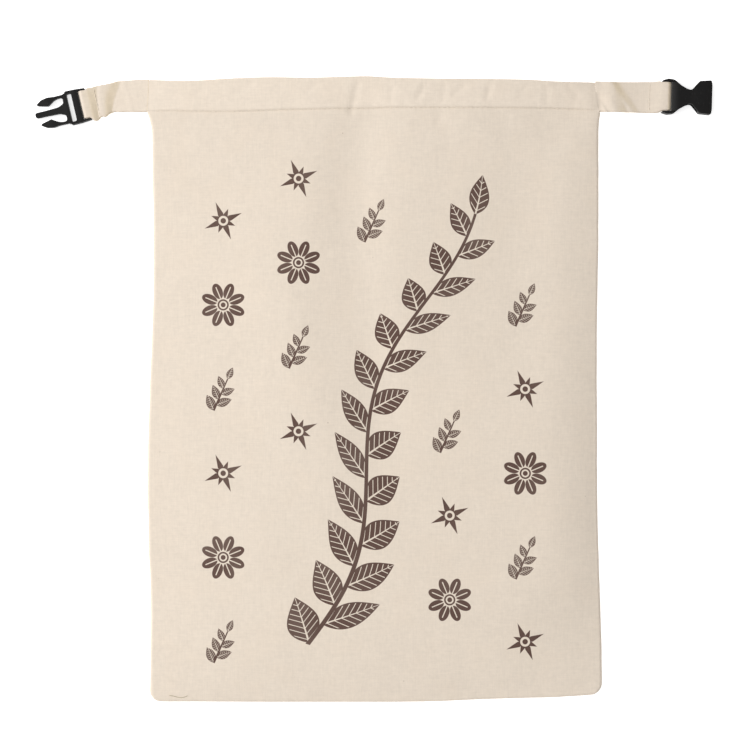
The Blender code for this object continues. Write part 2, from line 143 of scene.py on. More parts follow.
# Soft folds of the front. Each fold: half width on the left, half width on the right, and rows of height up
# the bag, place across, lift.
FOLDS = (
    (0.019, 0.018, (
        (-0.0650, 0.0150, 0.0), (-0.0214, 0.0060, -0.0009), (0.0269, -0.0035, -0.0013),
        (0.0614, -0.0095, -0.0015), (0.1028, -0.0125, -0.0017), (0.1442, -0.0120, -0.0019),
        (0.1900, -0.0085, -0.0016), (0.2140, -0.0070, -0.0004),
    )),
    (0.040, 0.020, (
        (-0.1150, -0.0120, 0.0), (-0.0559, -0.0290, 0.0012), (-0.0076, -0.0445, 0.0014),
        (0.0407, -0.0570, 0.0016), (0.0890, -0.0595, 0.0014), (0.1304, -0.0510, 0.0009),
        (0.1787, -0.0450, 0.0003), (0.2000, -0.0500, 0.0),
    )),
    (0.034, 0.018, (
        (0.0850, 0.1100, 0.0), (0.1304, 0.1120, -0.0008), (0.1649, 0.1160, -0.0013),
        (0.1898, 0.1300, -0.0015), (0.2100, 0.1300, -0.0006),
    )),
    (0.050, 0.028, (
        (-0.0200, 0.1000, 0.0), (0.0400, 0.0960, -0.0013), (0.0900, 0.0930, -0.0016),
        (0.1300, 0.0900, -0.0012), (0.1700, 0.0880, 0.0),
    )),
    (0.017, 0.014, (
        (-0.1950, -0.0290, 0.0), (-0.1801, -0.0305, -0.0003), (-0.1456, -0.0388, -0.0006),
        (-0.1042, -0.0512, -0.0004), (-0.0800, -0.0560, 0.0),
    )),
    (0.020, 0.012, (
        (-0.0100, 0.0500, 0.0), (0.0200, 0.0440, -0.0004), (0.0500, 0.0400, -0.0005),
        (0.0800, 0.0380, 0.0),
    )),
    (0.012, 0.010, (
        (0.1500, 0.0600, 0.0), (0.1750, 0.0500, -0.0004), (0.1900, 0.0460, -0.0006),
        (0.2100, 0.0450, -0.0002),
    )),
    (0.010, 0.010, (
        (0.1450, 0.0990, 0.0), (0.1750, 0.0900, -0.0003), (0.1900, 0.0870, -0.0005),
        (0.2050, 0.0860, 0.0),
    )),
)

# Small pulls that the hem's stitching draws into the heading. Each row: depth, half width, two ends.
PULLS = (
    (0.00022, 0.0030, (-0.1167, 0.2077), (-0.1257, 0.2015)),
    (0.00034, 0.0022, (-0.0843, 0.2098), (-0.0981, 0.2032)),
    (0.00024, 0.0030, (-0.0397, 0.2105), (-0.0466, 0.2050)),
    (0.00052, 0.0030, (-0.0112, 0.2105), (-0.0160, 0.1900)),
    (0.00026, 0.0030, (0.0130, 0.2063), (0.0116, 0.1994)),
    (0.00044, 0.0026, (0.0346, 0.2085), (0.0297, 0.1996)),
    (0.00026, 0.0028, (0.0484, 0.2098), (0.0475, 0.1994)),
    (0.00040, 0.0028, (0.0622, 0.2080), (0.0544, 0.2026)),
    (0.00040, 0.0028, (0.0799, 0.2084), (0.0778, 0.1996)),
    (0.00024, 0.0030, (0.1054, 0.2084), (0.1017, 0.2036)),
    (0.00030, 0.0028, (0.1190, 0.2077), (0.1190, 0.1973)),
    (0.00032, 0.0030, (0.1342, 0.2084), (0.1399, 0.2029)),
    (0.00018, 0.0034, (0.0455, 0.1890), (0.0440, 0.1830)),
    (0.00018, 0.0034, (0.0916, 0.1876), (0.0920, 0.1828)),
)

PULL_RIDGE = 1.1  # low ridges beside a pull, against its depth
PULLS_REACH = 0.0150  # pulls end this far below the hem's edge
PULLS_FADE = 0.0060  # and fade out over this length at the sides

# Unevenness of the cloth. A wave has a seed of its own.
SIDE_WAVE = (0.00018, 0.0110, 5.3)  # reach, size, seed of the sides' waves
SIDE_WAVE_END = (0.1860, 0.0100)  # they end below the tabs, over this length
INNER_REACH = 0.0120  # folds and waves fade out over this length at the seams
# Soft waves of the front. Each row: share of the cloth's unevenness, size, seed, and what heights up the bag
# are shrunk by, which draws the waves out.
FRONT_WAVES = ((1.0, 0.0300, 1.7, 0.6), (0.45, 0.0120, 9.1, 1.0), (0.16, 0.0050, 4.4, 1.0))
SEAM_PUCKER = (0.00022, 0.0070, 0.0052, 2.2, 7.7)  # height, reach, size, seeds at the sides and the foot
HEM_PUCKER = (0.00010, 0.0120, 0.0048, 3.9, 0.25)  # height, reach, size, seed, and what heights shrink by
BACK_LIFTS = (0.0003, 0.0240, 6.1, 0.15)  # height, size, seed, and how much of them stays flat
BACK_GROOVE = 0.8  # the stitched groove is this much of the front's

# Mesh of the bag
CELL = 0.0019
COARSE_ROWS = 4  # the back and the inside of the bag use one row in this many
COARSE_HEM_ROWS = 2
EDGE_STEPS = (0.0, 0.0002, 0.0006, 0.0011, 0.0017, 0.0024, 0.0034, 0.0048, 0.0066)
BESIDE_HEM = (0.0004, 0.0008, 0.0012, 0.0017, 0.0024, 0.0034)
HEM_STEPS = (*(-step for step in reversed(BESIDE_HEM)), 0.0, *BESIDE_HEM)
RIM_SHARES = (0.08, 0.25, 0.5, 0.75, 0.92)

GAP = 0.0003  # between pieces that touch

# Faces that meet at more than this angle keep a sharp edge
SHARP_CLOTH = math.radians(60)
SHARP_THREAD = math.radians(70)
SHARP_PLASTIC = math.radians(32)

# Buckle plug, along its own axis from the ends of its rails
PLUG_HEIGHT = 0.0055
PLUG_ARM_LOW, PLUG_ARM_HIGH = 0.0009, 0.0046
PLUG_SLOT = (0.0099, 0.0134, 0.0099)  # near end, far end, half width
PLUG_SLOT_ROUND = 0.0012
PLUG_BAR = (0.0004, 0.0034, 0.0021, 0.0037, 0.0106)  # near, far, low, high, half width
BAR_ROUND = 0.49  # the bars' edges are rounded by this share of their height
PRONG_EDGE = 1.3  # the prongs' edges are rounder than the frame's
PRONG_TAPER = (0.0262, 0.0372, 0.22)  # from here to there the prongs thin by this share

# Half outlines, mirrored about the axis. Each row: along the axis, across it, corner radius.
PLUG_FRAME = (
    (0.0055, 0.00985, 0.0004),
    (0.0000, 0.01020, 0.0002),
    (0.0000, 0.01100, 0.0004),
    (0.0070, 0.01160, 0.0030),
    (0.0139, 0.01175, 0.0007),
    (0.0143, 0.01050, 0.0003),
    (0.0156, 0.01045, 0.0003),
)
PLUG_PRONGS = (
    (0.0142, 0.0101, 0.0),
    (0.0220, 0.0100, 0.0040),
    (0.0266, 0.0105, 0.0040),
    (0.0312, 0.0097, 0.0040),
    (0.0350, 0.0072, 0.0004),
    (0.0338, 0.0062, 0.0005),
    (0.0270, 0.0047, 0.0006),
    (0.0228, 0.0074, 0.0025),
    (0.0205, 0.0082, 0.0020),
    (0.0164, 0.0084, 0.0016),
    (0.0164, 0.0040, 0.0022),
    (0.0205, 0.0022, 0.0040),
    (0.0300, 0.00185, 0.0030),
    (0.0372, 0.00190, 0.0015),
)

# Buckle socket, along its own axis from the ends of its rails
SOCKET_HEIGHT = 0.0085
SOCKET_WALL = 0.0017
SOCKET_CAVITY_START = 0.0125
SOCKET_CAVITY_HALF = 0.0099
SOCKET_CAVITY_ROUND = 0.0008
SOCKET_EDGE = 1.8  # the housing's edges are rounder than the plug's
SOCKET_BAR = (0.0012, 0.00455, 0.0032, 0.0056, 0.0108)
SOCKET_OUTLINE = (
    (0.0066, 0.01020, 0.0004),
    (0.0000, 0.01030, 0.0002),
    (0.0000, 0.01090, 0.0004),
    (0.0036, 0.01205, 0.0030),
    (0.0078, 0.01180, 0.0040),
    (0.0122, 0.00800, 0.0060),
    (0.0163, 0.00560, 0.0060),
    (0.0200, 0.00450, 0.0042),
    (0.0258, 0.01125, 0.0012),
    (0.0340, 0.01190, 0.0007),
    (0.0345, 0.00900, 0.0100),
)
# The housing is drawn in beyond the bar. Each row: from here on, over this length, moved along the axis by
# this much, narrowed by this share.
SOCKET_DRAWN_IN = ((0.0048, 0.0028, 0.0003, 0.022), (0.0090, 0.0250, -0.0008, 0.0))
CAVITY_BEYOND = 0.002  # the cutter of the hollow reaches this far past the mouth
RAMP_INSET = 0.0002  # and that of the ramp ends this far inside the housing's sides
SOCKET_DOME = 0.16  # the top falls towards the sides by this share of its half height
SOCKET_RAMP = ((0.0055, 0.0066), (0.0100, 0.0090), (0.0055, 0.0090))  # cut off the edge above the bar

# Tabs. Distances run from the side seam along the tab.
TAB_THICKNESS = 0.0015
SEAM_CLEARANCE = 0.00003  # between a tab's start and the cloth it is sewn to
ROOT_BLEND = 0.0080  # over this length a tab follows the slant of the side
TAB_CELL = 0.0007
TAB_TURN_STEPS = 20
TAB_ACROSS = 22
# The tab's section. Each row: share of the half width, share of the half thickness.
TAB_EDGE_MOUTH = ((0.950, 0.99), (0.975, 0.86), (0.992, 0.50), (1.0, 0.0))
TAB_EDGE_FOOT = ((-0.930, 0.99), (-0.948, 0.82), (-0.955, 0.45), (-0.945, 0.15), (-0.900, 0.03))
LOWER_LAYER = (0.040, 0.3)  # stands out by this share of the half width, below this share of the thickness
TAB_EDGE_WAVE = (0.00016, 0.0060, 2.9)  # height, size, seed
TAB_TOP_WAVE = (0.00009, 0.0065, 8.8)
TAB_WAVE_FADE = 0.0040  # the top's waves fade out over this length at both ends
RETURN_NARROWER = 0.0008
BEFORE_BAR, BESIDE_BAR = 0.0060, 0.0010  # places on the return, before the tab's end and before the bar

# A tab starts at root, centre and turns by bend at bend_at, over the length bend_over. It is stitched down at
# stitched_at and comes back under itself by returns, with its free end and the place before the bar at
# return_heights. Its rows start with a distance. widths: width. sway: how far the tab lies towards the mouth.
# rise: height of the middle of the cloth's thickness, up to the turn. slants: how far a crease there runs
# along the tab for each metre across it, read further along by lean for each metre across. Rows of creases:
# height, half width, distance, slant.
# tone: the tab's cloth colour is scaled by this, painted shade, deeper on the right tab.
TABS = {
    "left": dict(
        side=-1,
        column=LEFT,
        centre=0.2022,
        root=-0.1553,
        length=0.0427,
        bend=math.radians(13.2),
        bend_at=0.0205,
        bend_over=0.0120,
        widths=(
            (0.0, 0.0226), (0.0080, 0.0226), (0.0130, 0.0221), (0.0185, 0.0218), (0.0214, 0.0217),
            (0.0243, 0.0204), (0.0271, 0.0201), (0.0299, 0.0206), (0.0328, 0.0222), (0.0357, 0.0216),
            (0.0395, 0.0236), (0.0415, 0.0226), (0.0428, 0.0202), (0.0446, 0.0198), (0.0600, 0.0198),
        ),
        sway=(
            (0.0, 0.0004), (0.0160, 0.0002), (0.0225, 0.0001), (0.0271, 0.0003), (0.0299, 0.0001),
            (0.0328, -0.0006), (0.0357, -0.0003), (0.0385, -0.0014), (0.0415, -0.0010), (0.0440, -0.0003),
            (0.0600, -0.0003),
        ),
        bar=PLUG_BAR,
        stitched_at=0.0367,
        returns=0.0130,
        return_heights=(0.00095, 0.0010),
        rise=(
            (0.0, 0.0023), (0.0030, 0.00215), (0.0100, 0.0017), (0.0180, 0.0013), (0.0225, 0.0012),
            (0.0255, 0.00145), (0.0301, 0.00265), (0.0342, 0.0029), (0.0363, 0.0027), (0.0379, 0.0031),
            (0.0399, 0.0038), (0.0415, 0.0043),
        ),
        slants=(
            (0.0, 0.0), (0.0120, -0.20), (0.0212, -0.48), (0.0255, -0.45), (0.0300, -0.30), (0.0366, -0.16),
            (0.0410, 0.0), (0.0600, 0.0),
        ),
        lean=0.0,
        creases=((-0.00016, 0.0012, 0.0236, -0.50), (0.00018, 0.0022, 0.0150, 0.30)),
        tone=0.985,
    ),
    "right": dict(
        side=1,
        column=RIGHT,
        centre=0.2022,
        root=0.1535,
        length=0.0451,
        bend=math.radians(1.6),
        bend_at=0.0300,
        bend_over=0.0200,
        widths=(
            (0.0, 0.0212), (0.0070, 0.0209), (0.0180, 0.0210), (0.0280, 0.0213), (0.0380, 0.0216),
            (0.0425, 0.0218), (0.0448, 0.0203), (0.0470, 0.0200), (0.0600, 0.0196),
        ),
        sway=(
            (0.0, -0.0002), (0.0060, -0.0005), (0.0180, -0.0008), (0.0340, -0.0009), (0.0400, -0.0009),
            (0.0440, -0.0003), (0.0470, 0.0), (0.0600, 0.0),
        ),
        bar=SOCKET_BAR,
        stitched_at=0.0363,
        returns=0.0115,
        return_heights=(0.0021, 0.0024),
        rise=(
            (0.0, 0.0024), (0.0012, 0.0025), (0.0037, 0.0033), (0.0065, 0.0043), (0.0092, 0.0049),
            (0.0120, 0.0051), (0.0148, 0.0049), (0.0175, 0.0045), (0.0203, 0.0039), (0.0230, 0.0035),
            (0.0258, 0.0035), (0.0300, 0.0038), (0.0363, 0.0044), (0.0400, 0.0052), (0.0435, 0.0060),
            (0.0465, 0.0065),
        ),
        slants=(
            (0.0, 0.0), (0.0015, -0.20), (0.0040, -0.35), (0.0070, -0.20), (0.0100, -0.05), (0.0155, -0.10),
            (0.0178, -0.50), (0.0205, -0.65), (0.0230, -0.60), (0.0260, -0.40), (0.0320, 0.0), (0.0600, 0.0),
        ),
        lean=0.6,
        creases=(),
        tone=0.935,
    ),
}

# Shade that gathers where the right tab is sewn in, against the shade in the hem's groove. Rows across it:
# distance from the side seam, share. Rows along it: height up the bag, share.
ROOT_SHADE_ACROSS = (
    (-0.0065, 0.0), (-0.0040, 1.2), (-0.0012, 1.4), (0.0002, 3.6), (0.0012, 3.4), (0.0028, 0.0),
)
ROOT_SHADE_ALONG = (
    (0.1930, 0.0), (0.1955, 1.1), (0.2015, 1.1), (0.2048, 0.9), (0.2077, 0.55), (0.2110, 0.4),
)
# Painted warm shade on the tabs' sides that face right, away from the key light.
PAINTED_SHADE_TINT = (1.03, 1.0, 0.90)  # of the tabs' sides that face right
SHADE_TINT_SLOPE = 0.30  # a side is fully tinted from this slope on

# Sewing
THREAD = 0.00019  # radius
STITCH = 0.0029
STITCH_GAP = 0.0004
GROOVE_DEPTH = 0.00026
GROOVE_HALF = 0.0007
STITCH_SHARES = (0.0, 0.12, 0.32, 0.5, 0.68, 0.88, 1.0)  # points along a stitch
STITCH_ARCH, STITCH_SUNK = 1.9, 0.9  # a stitch's rise and the depth of its ends, against the thread's radius
THREAD_TIP = 0.45  # a thread's ends are this much of its radius
HEM_STITCHES_INSET = 0.0035
TAB_STITCHES_INSET = 0.0014

# A loose thread end lies on the front at the foot's left corner. It is thinner, and lifts in soft steps.
THREAD_END = (
    (-0.1416, -0.21135), (-0.1381, -0.2121), (-0.1340, -0.2130), (-0.1312, -0.2127), (-0.1285, -0.2116),
)
THREAD_END_SIZE = 0.8
THREAD_END_LIFT = (0.5, 0.6, 0.9)  # least lift and added lift against the radius, and how often it lifts

# Rounded corners
ARC_STEP = math.radians(9)
ARC_SHARE = 0.48  # an arc takes at most this share of each side
STRAIGHT = math.radians(3)  # a corner that turns less stays a point
BEVELLED = math.radians(50)  # an edge that turns more is rounded

# Photograph's view: the picture is this wide at the bag, and its middle lies here
VIEW_WIDTH = 0.5175
VIEW_CENTRE = (0.0006, 0.0097)
SENSOR = 36.0


# Settings


class ClothSettings(bpy.types.PropertyGroup):
    """Cloth of the bag and the tabs."""

    colour: FloatVectorProperty(
        name="Cloth", description="Colour of the unbleached cloth", subtype="COLOR", size=3, min=0.0, max=1.0,
        default=(0.757, 0.664, 0.560),
    )
    fleck_colour: FloatVectorProperty(
        name="Flecks", description="Colour of the seed flecks in the yarn", subtype="COLOR", size=3, min=0.0,
        max=1.0, default=(0.29, 0.205, 0.145),
    )
    thickness: FloatProperty(
        name="Thickness", description="Thickness of one layer", default=0.0010, min=0.0004, unit="LENGTH",
    )
    loft: FloatProperty(
        name="Loft", description="Height of the front over the middle", default=0.0082, min=0.006,
        unit="LENGTH",
    )
    pitch: FloatProperty(
        name="Thread pitch", description="Distance from thread to thread", default=0.00052, min=0.0002,
        precision=5, unit="LENGTH",
    )
    unevenness: FloatProperty(
        name="Unevenness", description="Height of the soft waves all over", default=0.00016, min=0.0,
        precision=5, unit="LENGTH",
    )


class PrintSettings(bpy.types.PropertyGroup):
    """Block print on the front."""

    ink: FloatVectorProperty(
        name="Ink", description="Colour of the printing ink", subtype="COLOR", size=3, min=0.0, max=1.0,
        default=(0.098, 0.053, 0.041),
    )
    leaf_length: FloatProperty(
        name="Leaf length", description="Length of the branch's leaves", default=0.038, min=0.01,
        unit="LENGTH",
    )
    leaf_half_width: FloatProperty(
        name="Leaf half width", description="Half the width of a leaf", default=0.0098, min=0.001,
        unit="LENGTH",
    )
    cell: FloatVectorProperty(
        name="Scatter cell", description="Width and height of a scattered motif's cell", size=2,
        subtype="XYZ_LENGTH", default=(0.052, 0.058), min=0.02,
    )


class SewingSettings(bpy.types.PropertyGroup):
    """Thread of the hem and the tabs."""

    colour: FloatVectorProperty(
        name="Thread", description="Colour of the sewing thread", subtype="COLOR", size=3, min=0.0, max=1.0,
        default=(0.80, 0.71, 0.59),
    )
    end_colour: FloatVectorProperty(
        name="Thread end", description="Colour of the loose end at the foot", subtype="COLOR", size=3,
        min=0.0, max=1.0, default=(0.36, 0.31, 0.19),
    )
    sides: IntProperty(name="Thread sides", description="Sides of a stitch's tube", default=8, min=5, max=16)


class BuckleSettings(bpy.types.PropertyGroup):
    """Moulded buckle halves."""

    colour: FloatVectorProperty(
        name="Plastic", description="Colour of the moulded plastic", subtype="COLOR", size=3, min=0.0,
        max=1.0, default=(0.0075, 0.0072, 0.0072),
    )
    edge: FloatProperty(
        name="Edge rounding", description="Rounding of the moulded edges", default=0.00045, min=0.0001,
        precision=5, unit="LENGTH",
    )
    edge_steps: IntProperty(
        name="Edge steps", description="Faces round a moulded edge", default=4, min=1, max=8,
    )


class StageSettings(bpy.types.PropertyGroup):
    """Floor, light and camera."""

    floor_colour: FloatVectorProperty(
        name="Floor", description="Colour of the floor", subtype="COLOR", size=3, min=0.0, max=1.0,
        default=(0.93, 0.93, 0.93),
    )
    key_power: FloatProperty(
        name="Key light", description="Power of the light at the left", default=84.6, min=0.0, unit="POWER",
    )
    fill_power: FloatProperty(
        name="Fill light", description="Power of the wide light overhead", default=15.0, min=0.0,
        unit="POWER",
    )
    lens: FloatProperty(name="Lens", description="Focal length", default=100.0, min=20.0, unit="CAMERA")


# Shapes in numbers


def smooth(share):
    """0 to 1 with level ends."""
    share = min(max(share, 0.0), 1.0)
    return share * share * (3.0 - 2.0 * share)


def quarter(share):
    """Quarter-round rise from 0 to 1."""
    share = min(max(share, 0.0), 1.0)
    return math.sqrt(1.0 - (1.0 - share) ** 2)


def eased(share):
    """0 to 1, steep at first and level at the end."""
    share = min(max(share, 0.0), 1.0)
    return share * (2.0 - share)


def bump(distance, half_width):
    """A soft bump from 1 at its top to 0 far away."""
    return math.exp(-((distance / half_width) ** 2))


def wave(x, y, size, seed):
    """Soft random waves between about -1 and 1, this far apart."""
    return noise.noise(Vector((x / size, y / size, seed)))


def along(rows, at, column):
    """The column's value at a place, on a smooth curve through the rows."""
    at = min(max(at, rows[0][0]), rows[-1][0])
    last = len(rows) - 1
    i = max(k for k in range(last) if rows[k][0] <= at)
    a, b = rows[i], rows[i + 1]
    before, after = rows[max(i - 1, 0)], rows[min(i + 2, last)]
    step = b[0] - a[0]
    slope_a = (b[column] - before[column]) / (b[0] - before[0])
    slope_b = (after[column] - a[column]) / (after[0] - a[0])
    t = (at - a[0]) / step
    rise = t * t * (3.0 - 2.0 * t)
    lead_in = t * (1.0 - t) ** 2 * step * slope_a
    lead_out = t * t * (1.0 - t) * step * slope_b
    return a[column] + (b[column] - a[column]) * rise + lead_in - lead_out


def segment_distance(x, y, ax, ay, bx, by):
    """Distance of a place from the straight line between two others."""
    dx, dy = bx - ax, by - ay
    t = ((x - ax) * dx + (y - ay) * dy) / (dx * dx + dy * dy)
    t = min(max(t, 0.0), 1.0)
    return math.hypot(x - ax - t * dx, y - ay - t * dy)


# Meshes and pieces


def finished_mesh(name, bm, sharp):
    """The mesh, with smooth faces but for edges sharper than this angle."""
    bmesh.ops.recalc_face_normals(bm, faces=bm.faces[:])
    mesh = bpy.data.meshes.new(name)
    bm.to_mesh(mesh)
    bm.free()
    mesh.shade_smooth()
    mesh.set_sharp_from_angle(angle=sharp)
    return mesh


def add_piece(name, mesh, materials, replaced=()):
    """Makes the object of a finished mesh, which moves with the bag and stands for the replaced solids."""
    mesh.name = name
    for one in materials:
        mesh.materials.append(one)
    piece = bpy.data.objects.new(name, mesh)
    bpy.context.scene.collection.objects.link(piece)
    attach(piece, BODY)
    if replaced:
        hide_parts(*replaced)
    return piece


def join_loops(bm, first, second):
    """A closed band of faces between two loops of points."""
    for k in range(len(first)):
        after = (k + 1) % len(first)
        bm.faces.new((first[k], first[after], second[after], second[k]))


def closed_tube(bm, loops):
    """Joins loops one after the other and closes both ends."""
    for first, second in zip(loops, loops[1:]):
        join_loops(bm, first, second)
    bm.faces.new(loops[0])
    bm.faces.new(reversed(loops[-1]))


def sweep(bm, centres, radius, sides):
    """A round thread along these points, closed at both ends."""
    loops = []
    for k, centre in enumerate(centres):
        ahead = centres[min(k + 1, len(centres) - 1)] - centres[max(k - 1, 0)]
        ahead.normalize()
        across = ahead.cross(Vector((0.0, 0.0, 1.0))).normalized()
        up = across.cross(ahead)
        at_end = k in (0, len(centres) - 1)
        size = radius * (THREAD_TIP if at_end else 1.0)
        turns = [2.0 * math.pi * side / sides for side in range(sides)]
        loops.append([bm.verts.new(centre + size * (math.cos(a) * across + math.sin(a) * up)) for a in turns])
    closed_tube(bm, loops)


# Bag


def fold_lift(x, y):
    """Height that the soft folds add to the front."""
    lift = 0.0
    for left_width, right_width, rows in FOLDS:
        if rows[0][0] < y < rows[-1][0]:
            beside = x - along(rows, y, 1)
            lift += along(rows, y, 2) * bump(beside, left_width if beside < 0 else right_width)
    return lift


def pull_lift(x, y):
    """The stitching's pulls: valleys with a low ridge at each side."""
    lift = 0.0
    for depth, half_width, a, b in PULLS:
        share = segment_distance(x, y, *a, *b) / half_width
        lift -= depth * (1.0 - PULL_RIDGE * share * share) * math.exp(-share * share)
    return lift


def columns():
    """Each column of the bag: steps in from the left, steps in from the right, share between those."""
    middle = round((2 * (SIDE_REACH - EDGE_STEPS[-1])) / CELL)
    found = [(step, 0.0, 0.0) for step in EDGE_STEPS]
    found += [(EDGE_STEPS[-1], EDGE_STEPS[-1], k / middle) for k in range(1, middle)]
    found += [(0.0, step, 1.0) for step in reversed(EDGE_STEPS)]
    return found


def levels():
    """The bag's rows: 0 at the foot, 1 at the hem's edge, 2 at the mouth, and whether each is coarse."""
    rows = [(step / BODY_RISE, True) for step in EDGE_STEPS]
    start, stop = rows[-1][0], 1.0 + HEM_STEPS[0] / BODY_RISE
    count = round((stop - start) * BODY_RISE / CELL)
    rows += [(start + (stop - start) * k / count, k % COARSE_ROWS == 0) for k in range(1, count)]
    rows += [(1.0 + step / (BODY_RISE if step < 0 else HEM_DEPTH), True) for step in HEM_STEPS]
    start, stop = rows[-1][0], 2.0 - RIM_ROUND / HEM_DEPTH
    count = round((stop - start) * HEM_DEPTH / CELL)
    rows += [
        (start + (stop - start) * k / count, k % COARSE_HEM_ROWS == 0 or k == count)
        for k in range(1, count + 1)
    ]
    return rows


def row_height(level, x, inset):
    """y of a row at this place across the bag."""
    foot = along(CROSS_LINES, x, FOOT) + inset
    hem = along(CROSS_LINES, x, HEM)
    mouth = along(CROSS_LINES, x, MOUTH)
    if level <= 1.0:
        return foot + (hem - foot) * level
    return hem + (mouth - hem) * (level - 1.0)


def side_line(level, side, inset):
    """x of the left or right side at a row, with the seam's small unevenness."""
    y = row_height(level, side * SIDE_REACH, inset)
    below_corner = max(CORNER_RADIUS - level * BODY_RISE, 0.0)
    corner = CORNER_RADIUS - math.sqrt(CORNER_RADIUS**2 - below_corner**2)
    reach, size, seed = SIDE_WAVE
    end, fade = SIDE_WAVE_END
    uneven = reach * wave(side, y, size, seed) * smooth((end - y) / fade)
    return along(SIDE_LINES, y, LEFT if side < 0 else RIGHT) - side * (corner + inset + uneven)


def bag_place(level, column, inset):
    """x, y and the distances in from the left, right and foot, on a skin this far inside the outline."""
    from_left, from_right, share = column
    left = side_line(level, -1, inset)
    right = side_line(level, 1, inset)
    if share == 0.0:
        x = left + from_left
    elif share == 1.0:
        x = right - from_right
    else:
        x = left + from_left + (right - from_right - left - from_left) * share
    return x, row_height(level, x, inset), x - left, right - x, level * BODY_RISE


def beside_tab(y):
    """1 where a tab is sewn in at the side, 0 elsewhere."""
    (start, stop), (start_fade, stop_fade) = ROOT_SPAN, ROOT_SPAN_ENDS
    return smooth((y - start) / start_fade) * smooth((stop - y) / stop_fade)


def edge_rounding(y, from_left, from_right, from_foot):
    """0 at the seams to 1 where the edge's rounding ends."""
    at_root = beside_tab(y)
    in_from_side = min(from_left, from_right)
    root_round = ROOT_ROUND[-1 if from_left < from_right else 1]
    at_tab = smooth(0.5 + 0.5 * in_from_side / root_round)
    side = quarter(in_from_side / SEAM_ROUND) * (1.0 - at_root) + at_tab * at_root
    return side * quarter(from_foot / SEAM_ROUND)


def loft_share(y, from_left, from_right, from_foot):
    """How far the front has risen at a place: 0 at the seams, 1 over the middle."""
    left = eased((from_left - SEAM_ROUND) / along(SIDE_RISES, y, LEFT))
    share = along(SIDE_RISES, y, 3)
    right = share * eased((from_right - SEAM_ROUND) / along(SIDE_RISES, y, RIGHT))
    right += (1.0 - share) * eased((from_right - SEAM_ROUND) / WIDE_RISE)
    return left * right * eased((from_foot - SEAM_ROUND) / FOOT_RISE)


def pucker(x, y, in_from_side, from_foot):
    """Short waves beside the side seams and the foot seam."""
    height, reach, size, side_seed, foot_seed = SEAM_PUCKER
    beside_sides = bump(in_from_side, reach) * wave(0.0, y, size, side_seed)
    return height * (beside_sides + bump(from_foot, reach) * wave(x, 0.0, size, foot_seed))


def hem_pucker(x, y, above_hem):
    """Short waves that run up from the hem's stitching."""
    height, reach, size, seed, shrunk = HEM_PUCKER
    return height * wave(x, y * shrunk, size, seed) * bump(above_hem, reach)


def hem_stitch_lift(above_hem):
    """The stitched groove along the hem's edge, with the hem swelling above it."""
    swell, middle, half_width = HEM_SWELL
    return swell * bump(above_hem - middle, half_width) - GROOVE_DEPTH * bump(above_hem, GROOVE_HALF)


def hem_lift(in_from_side, above_hem):
    """The step up to the turned hem."""
    start, length = HEM_STEP
    extra = HEM_EXTRA * (0.5 + 0.5 * smooth(in_from_side / HEM_THINS_OVER))
    return extra * smooth((above_hem - start) / length)


def front_height(cloth, x, y, from_left, from_right, from_foot):
    """Height of the front's outer face."""
    above_hem = y - along(CROSS_LINES, x, HEM)
    in_from_side = min(from_left, from_right)
    rounding = edge_rounding(y, from_left, from_right, from_foot)
    inner = smooth(in_from_side / INNER_REACH) * smooth(from_foot / INNER_REACH)
    edge = SEAM_HEIGHT + (2.0 * ROOT_TOP - SEAM_TOP - SEAM_HEIGHT) * beside_tab(y)
    height = edge + (SEAM_TOP - edge) * rounding
    height += (cloth.loft - SEAM_TOP) * loft_share(y, from_left, from_right, from_foot)
    height += hem_lift(in_from_side, above_hem) * rounding
    waves = sum(share * wave(x, y * shrunk, size, seed) for share, size, seed, shrunk in FRONT_WAVES)
    height += (fold_lift(x, y) + cloth.unevenness * waves + hem_pucker(x, y, above_hem)) * inner
    height += pucker(x, y, in_from_side, from_foot) * rounding
    if above_hem > -PULLS_REACH:
        height += pull_lift(x, y) * smooth(in_from_side / PULLS_FADE)
        height += hem_stitch_lift(above_hem) * rounding
    return height


def root_shade(x, y):
    """Shade that gathers where the right tab is sewn in."""
    from_seam = x - along(SIDE_LINES, y, TABS["right"]["column"])
    return along(ROOT_SHADE_ACROSS, from_seam, 1) * along(ROOT_SHADE_ALONG, y, 1)


def crease_share(x, y):
    """How much shade gathers at a place on the cloth: about 1 in the hem's stitched groove."""
    half_width, strength, change, size, seed = HEM_SHADE
    groove = bump(y - along(CROSS_LINES, x, HEM), half_width)
    return root_shade(x, y) + groove * (strength + change * wave(x, 0.0, size, seed))


def front_at(cloth, x, y):
    """Height of the front's outer face at a place on it."""
    foot = along(CROSS_LINES, x, FOOT)
    level = (y - foot) / (along(CROSS_LINES, x, HEM) - foot)
    left, right = side_line(min(level, 1.0), -1, 0.0), side_line(min(level, 1.0), 1, 0.0)
    return front_height(cloth, x, y, x - left, right - x, y - foot)


def back_height(x, y):
    """Height of the back's outer face: it lies flat but for its stitched groove and a few soft lifts."""
    groove = BACK_GROOVE * GROOVE_DEPTH * bump(y - along(CROSS_LINES, x, HEM), GROOVE_HALF)
    height, size, seed, flat = BACK_LIFTS
    return groove + height * max(wave(x, y, size, seed) - flat, 0.0)


def outer_points(cloth, level, column):
    """Front and back points of the outer skin."""
    x, y, left, right, foot = bag_place(level, column, 0.0)
    front = front_height(cloth, x, y, left, right, foot)
    rounding = quarter(min(left, right) / SEAM_ROUND) * quarter(foot / SEAM_ROUND)
    back = SEAM_HEIGHT * (1.0 - rounding) + back_height(x, y) * rounding
    return (x, y, front), (x, y, back)


